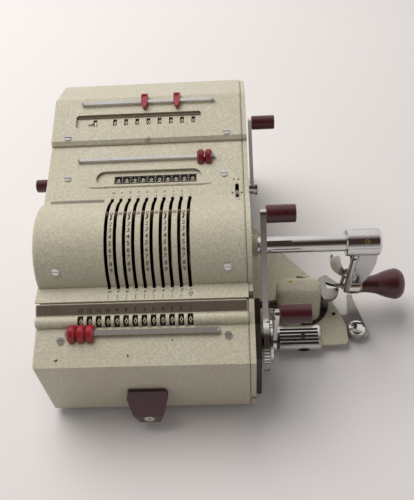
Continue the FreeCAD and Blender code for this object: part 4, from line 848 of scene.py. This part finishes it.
class CALCULATOR_OT_cover_trim(bpy.types.Operator):
    """Adds the embossed ridge above the slots, the bare nameplate and the stud at the covers' seam"""

    bl_idname = "calculator.cover_trim"
    bl_label = "Ridge, nameplate and stud"

    def execute(self, context):
        cover = Ground("setting_cover")
        mesh_piece("embossed_ridge", moved(self.ridge(), cover.frame(0.0, RIDGE_Y)), "case_paint", "root")
        plate = moved(bar(*NAMEPLATE), cover.frame(*NAMEPLATE_PLACE))
        mesh_piece("bare_nameplate", plate, "plate_dull", "root")
        stud = moved(disc(*STUD), Ground("counter_cover").frame(*STUD_PLACE))
        mesh_piece("seam_stud", stud, "case_paint", "root")
        return {"FINISHED"}

    def ridge(self):
        """Half-round ridge along X that tapers to nothing at both ends."""
        shape = bmesh.new()
        rings = []
        for i in range(RIDGE_STEPS + 1):
            share = i / RIDGE_STEPS
            fade = RIDGE_END
            if 0 < share < 1:
                fade = min(1.0, share * RIDGE_LEFT_TAPER, (1 - share) * RIDGE_RIGHT_TAPER) ** 0.5
            x = RIDGE_LEFT + (RIDGE_RIGHT - RIDGE_LEFT) * share
            ring = []
            for k in range(RIDGE_SIDES + 1):
                turn = math.pi * k / RIDGE_SIDES
                across = RIDGE_WIDE / 2 * fade * math.cos(turn)
                ring.append(shape.verts.new((x, across, RIDGE_HIGH * fade * math.sin(turn) - RIDGE_SUNK)))
            rings.append(ring)
        for near, far in zip(rings, rings[1:]):
            for k in range(RIDGE_SIDES):
                shape.faces.new((near[k], far[k], far[k + 1], near[k + 1]))
            shape.faces.new((near[0], near[-1], far[-1], far[0]))
        shape.faces.new(rings[0])
        shape.faces.new(list(reversed(rings[-1])))
        return built("ridge", shape, True)


# Brown bar along the upper wall of the counter window: a painted shade on that wall
WALL_SHADE = (117.0, 1.6, 1.4, 0.25)
WALL_SHADE_PLACE = (-8.0, 232.2)
APERTURE_DOT = (0.42, PRINT, 10)
APERTURE_DOTS_Y = 220.1
COMMA = [(-0.5, 1.3), (0.6, 1.2), (0.7, 0.2), (-0.1, -1.6), (-0.7, -1.3), (-0.2, 0.0)]
COMMA_X = (38.8, 49.6)
COMMA_Y = 220.8


class CALCULATOR_OT_window_marks(bpy.types.Operator):
    """Adds a brown bar as painted shade on the upper wall of the counter window, dots under its apertures and
    two red commas
    """

    bl_idname = "calculator.window_marks"
    bl_label = "Counter window"

    def execute(self, context):
        mask = Ground("register_masks")
        # Brown bar standing for the shade on the window's upper wall
        wall_shade = moved(bar(*WALL_SHADE), mask.frame(*WALL_SHADE_PLACE, lift=0.0))
        mesh_piece("window_wall_shade", wall_shade, "strip_metal", "root")
        dot = moved(disc(*APERTURE_DOT), mask.frame(COUNTER_X, APERTURE_DOTS_Y))
        print_row("aperture_dots", dot, COUNTER_COUNT, COUNTER_PITCH)
        commas = [moved(outline_solid(COMMA, PRINT), mask.frame(x, COMMA_Y)) for x in COMMA_X]
        mesh_piece("red_commas", joined("commas", commas), "marker_red", "root")
        return {"FINISHED"}


DIRECTION_X = 83.4
DIRECTION_Y = 144.0
DIRECTION_DOT = (0.75, PRINT, 12)
DIRECTION_DOTS = ((80.6, 158.5), (84.9, 158.3), (85.2, 131.0))
NOTCH_OUT = 3.4
NOTCH_LONG = 1.7
NOTCH_HALF = 1.3


class CALCULATOR_OT_direction_marks(bpy.types.Operator):
    """Prints a notch mark on each side of the direction slot, and the dots round it"""

    bl_idname = "calculator.direction_marks"
    bl_label = "Direction marks"

    def execute(self, context):
        cover = Ground("setting_cover")
        marks = [moved(disc(*DIRECTION_DOT), cover.frame(x, y)) for x, y in DIRECTION_DOTS]
        for side in (-1, 1):
            corners = [(0, -NOTCH_HALF), (side * NOTCH_LONG, 0), (0, NOTCH_HALF)]
            notch = outline_solid(corners[::side], PRINT)
            marks.append(moved(notch, cover.frame(DIRECTION_X + side * NOTCH_OUT, DIRECTION_Y)))
        print_piece("direction_marks", joined("marks", marks))
        return {"FINISHED"}


# Trim of the controls
INLAY = (4.6, 0.08, 32, 0.06)
INLAY_DOT = (1.1, 0.18, 16)
INLAY_HEIGHT = 6.6


class CALCULATOR_OT_grip_inlay(bpy.types.Operator):
    """Sets the pale inlay with its dark dot in the front of the carriage grip"""

    bl_idname = "calculator.grip_inlay"
    bl_label = "Grip inlay"

    def execute(self, context):
        low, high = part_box("carriage_grip")
        spot = Vector(((low.x + high.x) / 2, low.y, low.z + INLAY_HEIGHT * MM))
        face = Matrix.Translation(spot) @ Matrix.Rotation(math.pi / 2, 4, "X")
        body = BODY_OF["carriage_grip"]
        mesh_piece("grip_inlay", moved(disc(*INLAY), face), "inlay_pale", body)
        print_piece("grip_inlay_dot", moved(disc(*INLAY_DOT), face), body)
        return {"FINISHED"}


FERRULE_R = 7.3
FERRULE_OUT = 7.9
FERRULE_WIDE = 1.5
FERRULE_GAP = 2.0
FERRULE_SIDES = 40
HUB_SCREW = (2.0, 0.5, 24, 0.3)
HUB_SCREW_X = 194.5
HUB_SCREW_REACH = 11.8
HUB_SCREW_LEAN = math.radians(38)


class CALCULATOR_OT_crank_trim(bpy.types.Operator):
    """Adds the brass ring at the ferrule of the crank handle and the set screw in the hub"""

    bl_idname = "calculator.crank_trim"
    bl_label = "Crank ring and screw"

    def execute(self, context):
        handle = middle("crank_handle")
        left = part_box("crank_handle")[0].x - FERRULE_GAP * MM
        spot = Matrix.Translation((left, handle.y, handle.z))
        mesh_piece("ferrule_ring", moved(self.ring(), spot), "brass_part", "rotor")
        tube = middle("crank_tube")
        lean = Matrix.Rotation(HUB_SCREW_LEAN, 4, "X")
        axis = Matrix.Translation((at(HUB_SCREW_X, 0, 0).x, tube.y, tube.z))
        hub = axis @ lean @ Matrix.Translation((0, 0, HUB_SCREW_REACH * MM))
        mesh_piece("hub_set_screw", moved(disc(*HUB_SCREW), hub), "brass_part", "rotor")
        return {"FINISHED"}

    def ring(self):
        """Plain ring round X."""
        shape = bmesh.new()
        rings = []
        for radius, x in ((FERRULE_R, 0.0), (FERRULE_OUT, 0.0), (FERRULE_OUT, FERRULE_WIDE),
                          (FERRULE_R, FERRULE_WIDE)):
            rings.append([shape.verts.new((x, y, z)) for y, z in circle(radius, FERRULE_SIDES)])
        walls(shape, rings, closed=True)
        return built("ring", shape, True)


KEY_BORDER = 2.4
KEY_RIBS = 5
KEY_BEVEL = 0.1
GROOVE = {"offset": 0.0, "depth": 2.3, "drop": 2.4, "tall": 1.7}
RIB = {"offset": 0.5, "depth": 1.25, "drop": 0.0, "tall": 0.25}
BUTTON_PLACE = (193.1, 72.5)
BUTTON_CAP = (8.2, 0.2, 40, 2.2)


class CALCULATOR_OT_key_trim(bpy.types.Operator):
    """Fills the grooves of the shift key, puts bright strips on its ribs and caps the transfer button"""

    bl_idname = "calculator.key_trim"
    bl_label = "Shift key and button"

    def execute(self, context):
        self.bars("key_grooves", GROOVE, KEY_RIBS, "print_dark", "dial_black")
        self.bars("key_ribs", RIB, KEY_RIBS - 1, "bright_chrome", "bright_chrome")
        place = Ground("transfer_lever").frame(*BUTTON_PLACE, lift=0.0)
        cap = moved(disc(*BUTTON_CAP), place)
        mesh_piece("transfer_button_cap", cap, "bright_chrome", BODY_OF["transfer_lever"])
        return {"FINISHED"}

    def bars(self, name, size, count, finish, slot):
        """Bars across the key, one to each groove or rib."""
        low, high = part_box("shift_key")
        spot = (low + high) / 2
        width = (high.x - low.x) / MM - 2 * KEY_BORDER
        step = ((high.y - low.y) / MM - 2 * KEY_BORDER) / KEY_RIBS
        bars = []
        for i in range(count):
            y = (i + size["offset"] - (KEY_RIBS - 1) / 2) * step * MM
            place = Matrix.Translation((spot.x, spot.y + y, high.z - size["drop"] * MM))
            bars.append(moved(bar(width, size["depth"], size["tall"], KEY_BEVEL), place))
        mesh_piece(name, joined(name, bars), finish, BODY_OF["shift_key"])


TOWER_X = 139.75
TOWER_Y = 106.0
SKIRT_R = 30.6
SKIRT_START = 88
SKIRT_SWEEP = 184
SKIRT_STEPS = 24
SKIRT_THICK = 0.3
PLATE_TOP_PLACE = (TOWER_X + 26.0, 100.0)
TOWER_CAP = (1.9, 0.3, 20, 0.5)
TOWER_CAP_PLACE = (131.5, 105.5)


class CALCULATOR_OT_tower_trim(bpy.types.Operator):
    """Adds the painted skirt over the left of the round plate and the small brass cap on the tower"""

    bl_idname = "calculator.tower_trim"
    bl_label = "Tower skirt and cap"

    def execute(self, context):
        top = Ground("wing_posts").frame(*PLATE_TOP_PLACE).to_translation().z
        centre = at(TOWER_X, TOWER_Y, 0)
        points = []
        for i in range(SKIRT_STEPS + 1):
            turn = math.radians(SKIRT_START + SKIRT_SWEEP * i / SKIRT_STEPS)
            points.append((SKIRT_R * math.cos(turn), SKIRT_R * math.sin(turn)))
        place = Matrix.Translation((centre.x, centre.y, top))
        mesh_piece("tower_skirt", moved(outline_solid(points, SKIRT_THICK), place), "case_paint", "root")
        cap = Ground("tower_housing").frame(*TOWER_CAP_PLACE, lift=0.0)
        mesh_piece("tower_cap", moved(disc(*TOWER_CAP), cap), "brass_part", "root")
        return {"FINISHED"}


# Each flake: place, size and turn of its ragged outline
FLAKES = ((-70.0, 6.0, 1.3, 0.4), (-10.5, 8.5, 1.0, 1.9), (26.0, 20.5, 0.8, 2.7))
FLAKE_CORNERS = 11
FLAKE_LONG = 1.5


class CALCULATOR_OT_flakes(bpy.types.Operator):
    """Marks the places on the carriage where the paint has chipped to the dark metal"""

    bl_idname = "calculator.flakes"
    bl_label = "Paint flakes"

    def execute(self, context):
        apron = Ground("carriage_cover")
        flakes = []
        for x, y, size, turn in FLAKES:
            points = []
            for i in range(FLAKE_CORNERS):
                angle = 2 * math.pi * i / FLAKE_CORNERS
                reach = size * (0.75 + 0.25 * math.sin(3 * angle + turn) + 0.12 * math.sin(7 * angle))
                points.append((reach * math.cos(angle) * FLAKE_LONG, reach * math.sin(angle)))
            flakes.append(moved(outline_solid(points, PRINT), apron.frame(x, y, turn)))
        mesh_piece("paint_flakes", joined("flakes", flakes), "print_dark", "carriage")
        return {"FINISHED"}


# Stage, lamps and camera
FLOOR_HALF = 4.0
KEY_PLACE = Vector((-0.58, 0.64, 1.42))
KEY_SIZE = 1.6
KEY_TINT = (1.0, 0.99, 0.98)
FILL_PLACE = Vector((0.5, -1.1, 0.9))
FILL_SIZE = 1.2
FILL_TINT = (1.0, 0.97, 0.94)
LIT_PLACE = (0, 140, 60)


def area_lamp(name, place, size, power, colour):
    """Round lamp that faces the middle of the machine and shows in no mirror."""
    lamp = bpy.data.lights.new(name, "AREA")
    lamp.shape = "DISK"
    lamp.size = size
    lamp.energy = power
    lamp.color = colour
    piece = bpy.data.objects.new(name, lamp)
    piece.location = place
    piece.rotation_mode = "QUATERNION"
    piece.rotation_quaternion = (at(*LIT_PLACE) - place).to_track_quat("-Z", "Y")
    piece.visible_glossy = False
    bpy.context.collection.objects.link(piece)


# The room that the metal mirrors: pale all round, dark brown in a cone above the operator
DARK_LEAN = math.radians(33)
ROOM_TONES = (
    (0.0, (0.86, 0.84, 0.83)), (0.55, (0.80, 0.78, 0.77)), (0.70, (0.42, 0.39, 0.37)),
    (0.84, (0.26, 0.23, 0.21)), (0.91, (0.060, 0.040, 0.032)), (1.0, (0.045, 0.032, 0.028)))
ROOM_TINT = (1.0, 0.985, 0.97, 1.0)


def room_light(strength):
    """Plain light all round. The camera and mirror rays see a pale room with a dark cone above."""
    world = bpy.data.worlds.new("studio")
    bpy.context.scene.world = world
    world.use_nodes = True
    tree = world.node_tree
    plain = tree.nodes["Background"]
    plain.inputs["Color"].default_value = ROOM_TINT
    plain.inputs["Strength"].default_value = strength
    seen = tree.nodes.new("ShaderNodeBackground")
    seen.inputs["Strength"].default_value = 1.0
    direction = tree.nodes.new("ShaderNodeTexCoord")
    ahead = tree.nodes.new("ShaderNodeVectorMath")
    ahead.operation = "DOT_PRODUCT"
    ahead.inputs[1].default_value = (0.0, -math.sin(DARK_LEAN), math.cos(DARK_LEAN))
    tree.links.new(direction.outputs["Generated"], ahead.inputs[0])
    ramp = tree.nodes.new("ShaderNodeValToRGB")
    stops = ramp.color_ramp.elements
    stops.remove(stops[1])
    for place, colour in ROOM_TONES:
        stop = stops.new(place) if place else stops[0]
        stop.color = (*colour, 1.0)
    tree.links.new(ahead.outputs["Value"], ramp.inputs["Fac"])
    tree.links.new(ramp.outputs["Color"], seen.inputs["Color"])
    path = tree.nodes.new("ShaderNodeLightPath")
    share = None
    for ray in ("Is Camera Ray", "Is Glossy Ray", "Is Transmission Ray"):
        if share is None:
            share = path.outputs[ray]
            continue
        most = tree.nodes.new("ShaderNodeMath")
        most.operation = "MAXIMUM"
        tree.links.new(share, most.inputs[0])
        tree.links.new(path.outputs[ray], most.inputs[1])
        share = most.outputs[0]
    blend = tree.nodes.new("ShaderNodeMixShader")
    tree.links.new(share, blend.inputs[0])
    tree.links.new(plain.outputs[0], blend.inputs[1])
    tree.links.new(seen.outputs[0], blend.inputs[2])
    tree.links.new(blend.outputs[0], tree.nodes["World Output"].inputs["Surface"])


class CALCULATOR_OT_stage(bpy.types.Operator):
    """Lays the floor, hangs the lamps and sets the camera"""

    bl_idname = "calculator.stage"
    bl_label = "Stage"

    def execute(self, context):
        scene = context.scene
        mesh = bpy.data.meshes.new("floor")
        signs = ((-1, -1), (1, -1), (1, 1), (-1, 1))
        corners = [(x * FLOOR_HALF, y * FLOOR_HALF, 0.0) for x, y in signs]
        mesh.from_pydata(corners, [], [(0, 1, 2, 3)])
        floor = bpy.data.objects.new("floor", mesh)
        context.collection.objects.link(floor)
        finish = Finish("floor", specular=0.3, roughness=0.6)
        tint = tuple(scene.calculator_colours.floor)
        cloud = finish.scaled(finish.noise(1.4, 2.0), 0.3, 0.7)
        mesh.materials.append(finish.result(base_color=finish.mix(cloud, shaded(tint, 0.96), tint)))
        light = scene.calculator_light
        area_lamp("key_lamp", KEY_PLACE, KEY_SIZE, light.key, KEY_TINT)
        area_lamp("fill_lamp", FILL_PLACE, FILL_SIZE, light.fill, FILL_TINT)
        room_light(light.sky)
        view = scene.calculator_camera
        data = bpy.data.cameras.new("camera")
        data.lens = view.lens
        data.sensor_width = 36.0
        camera = bpy.data.objects.new("camera", data)
        context.collection.objects.link(camera)
        camera.location = CASE + Vector(view.place)
        turn = Matrix.Rotation(view.heading, 3, "Z") @ Matrix.Rotation(math.pi / 2 - view.pitch, 3, "X")
        camera.rotation_euler = (turn @ Matrix.Rotation(-view.roll, 3, "Z")).to_euler()
        scene.camera = camera
        scene.view_settings.view_transform = "Standard"
        return {"FINISHED"}


OPERATORS = [
    CALCULATOR_OT_finishes, CALCULATOR_OT_prints, CALCULATOR_OT_scales, CALCULATOR_OT_dials,
    CALCULATOR_OT_blinds, CALCULATOR_OT_number_strip, CALCULATOR_OT_cover_trim,
    CALCULATOR_OT_window_marks, CALCULATOR_OT_direction_marks, CALCULATOR_OT_grip_inlay,
    CALCULATOR_OT_crank_trim, CALCULATOR_OT_key_trim, CALCULATOR_OT_tower_trim,
    CALCULATOR_OT_flakes, CALCULATOR_OT_stage]


class CALCULATOR_PT_panel(bpy.types.Panel):
    """Lists the camera, the colours and the lamps, and the operators in their order"""

    bl_idname = "CALCULATOR_PT_panel"
    bl_label = "Pinwheel calculator"
    bl_space_type = "VIEW_3D"
    bl_region_type = "UI"
    bl_category = "Calculator"

    def draw(self, context):
        for group_name in GROUPS:
            group = getattr(context.scene, group_name)
            for name in group.bl_rna.properties.keys():
                if name not in ("rna_type", "name"):
                    self.layout.prop(group, name)
        for operator in OPERATORS:
            self.layout.operator(operator.bl_idname)


GROUPS = {
    "calculator_camera": CalculatorCamera,
    "calculator_colours": CalculatorColours,
    "calculator_light": CalculatorLight,
}


def register():
    for kind in [*GROUPS.values(), *OPERATORS, CALCULATOR_PT_panel]:
        bpy.utils.register_class(kind)
    for name, group in GROUPS.items():
        setattr(bpy.types.Scene, name, PointerProperty(type=group))


def unregister():
    for name in GROUPS:
        delattr(bpy.types.Scene, name)
    for kind in [CALCULATOR_PT_panel, *reversed(OPERATORS), *reversed(GROUPS.values())]:
        bpy.utils.unregister_class(kind)


def main():
    register()
    for operator in OPERATORS:
        group, name = operator.bl_idname.split(".")
        getattr(getattr(bpy.ops, group), name)()


if __name__ == "__main__":
    main()
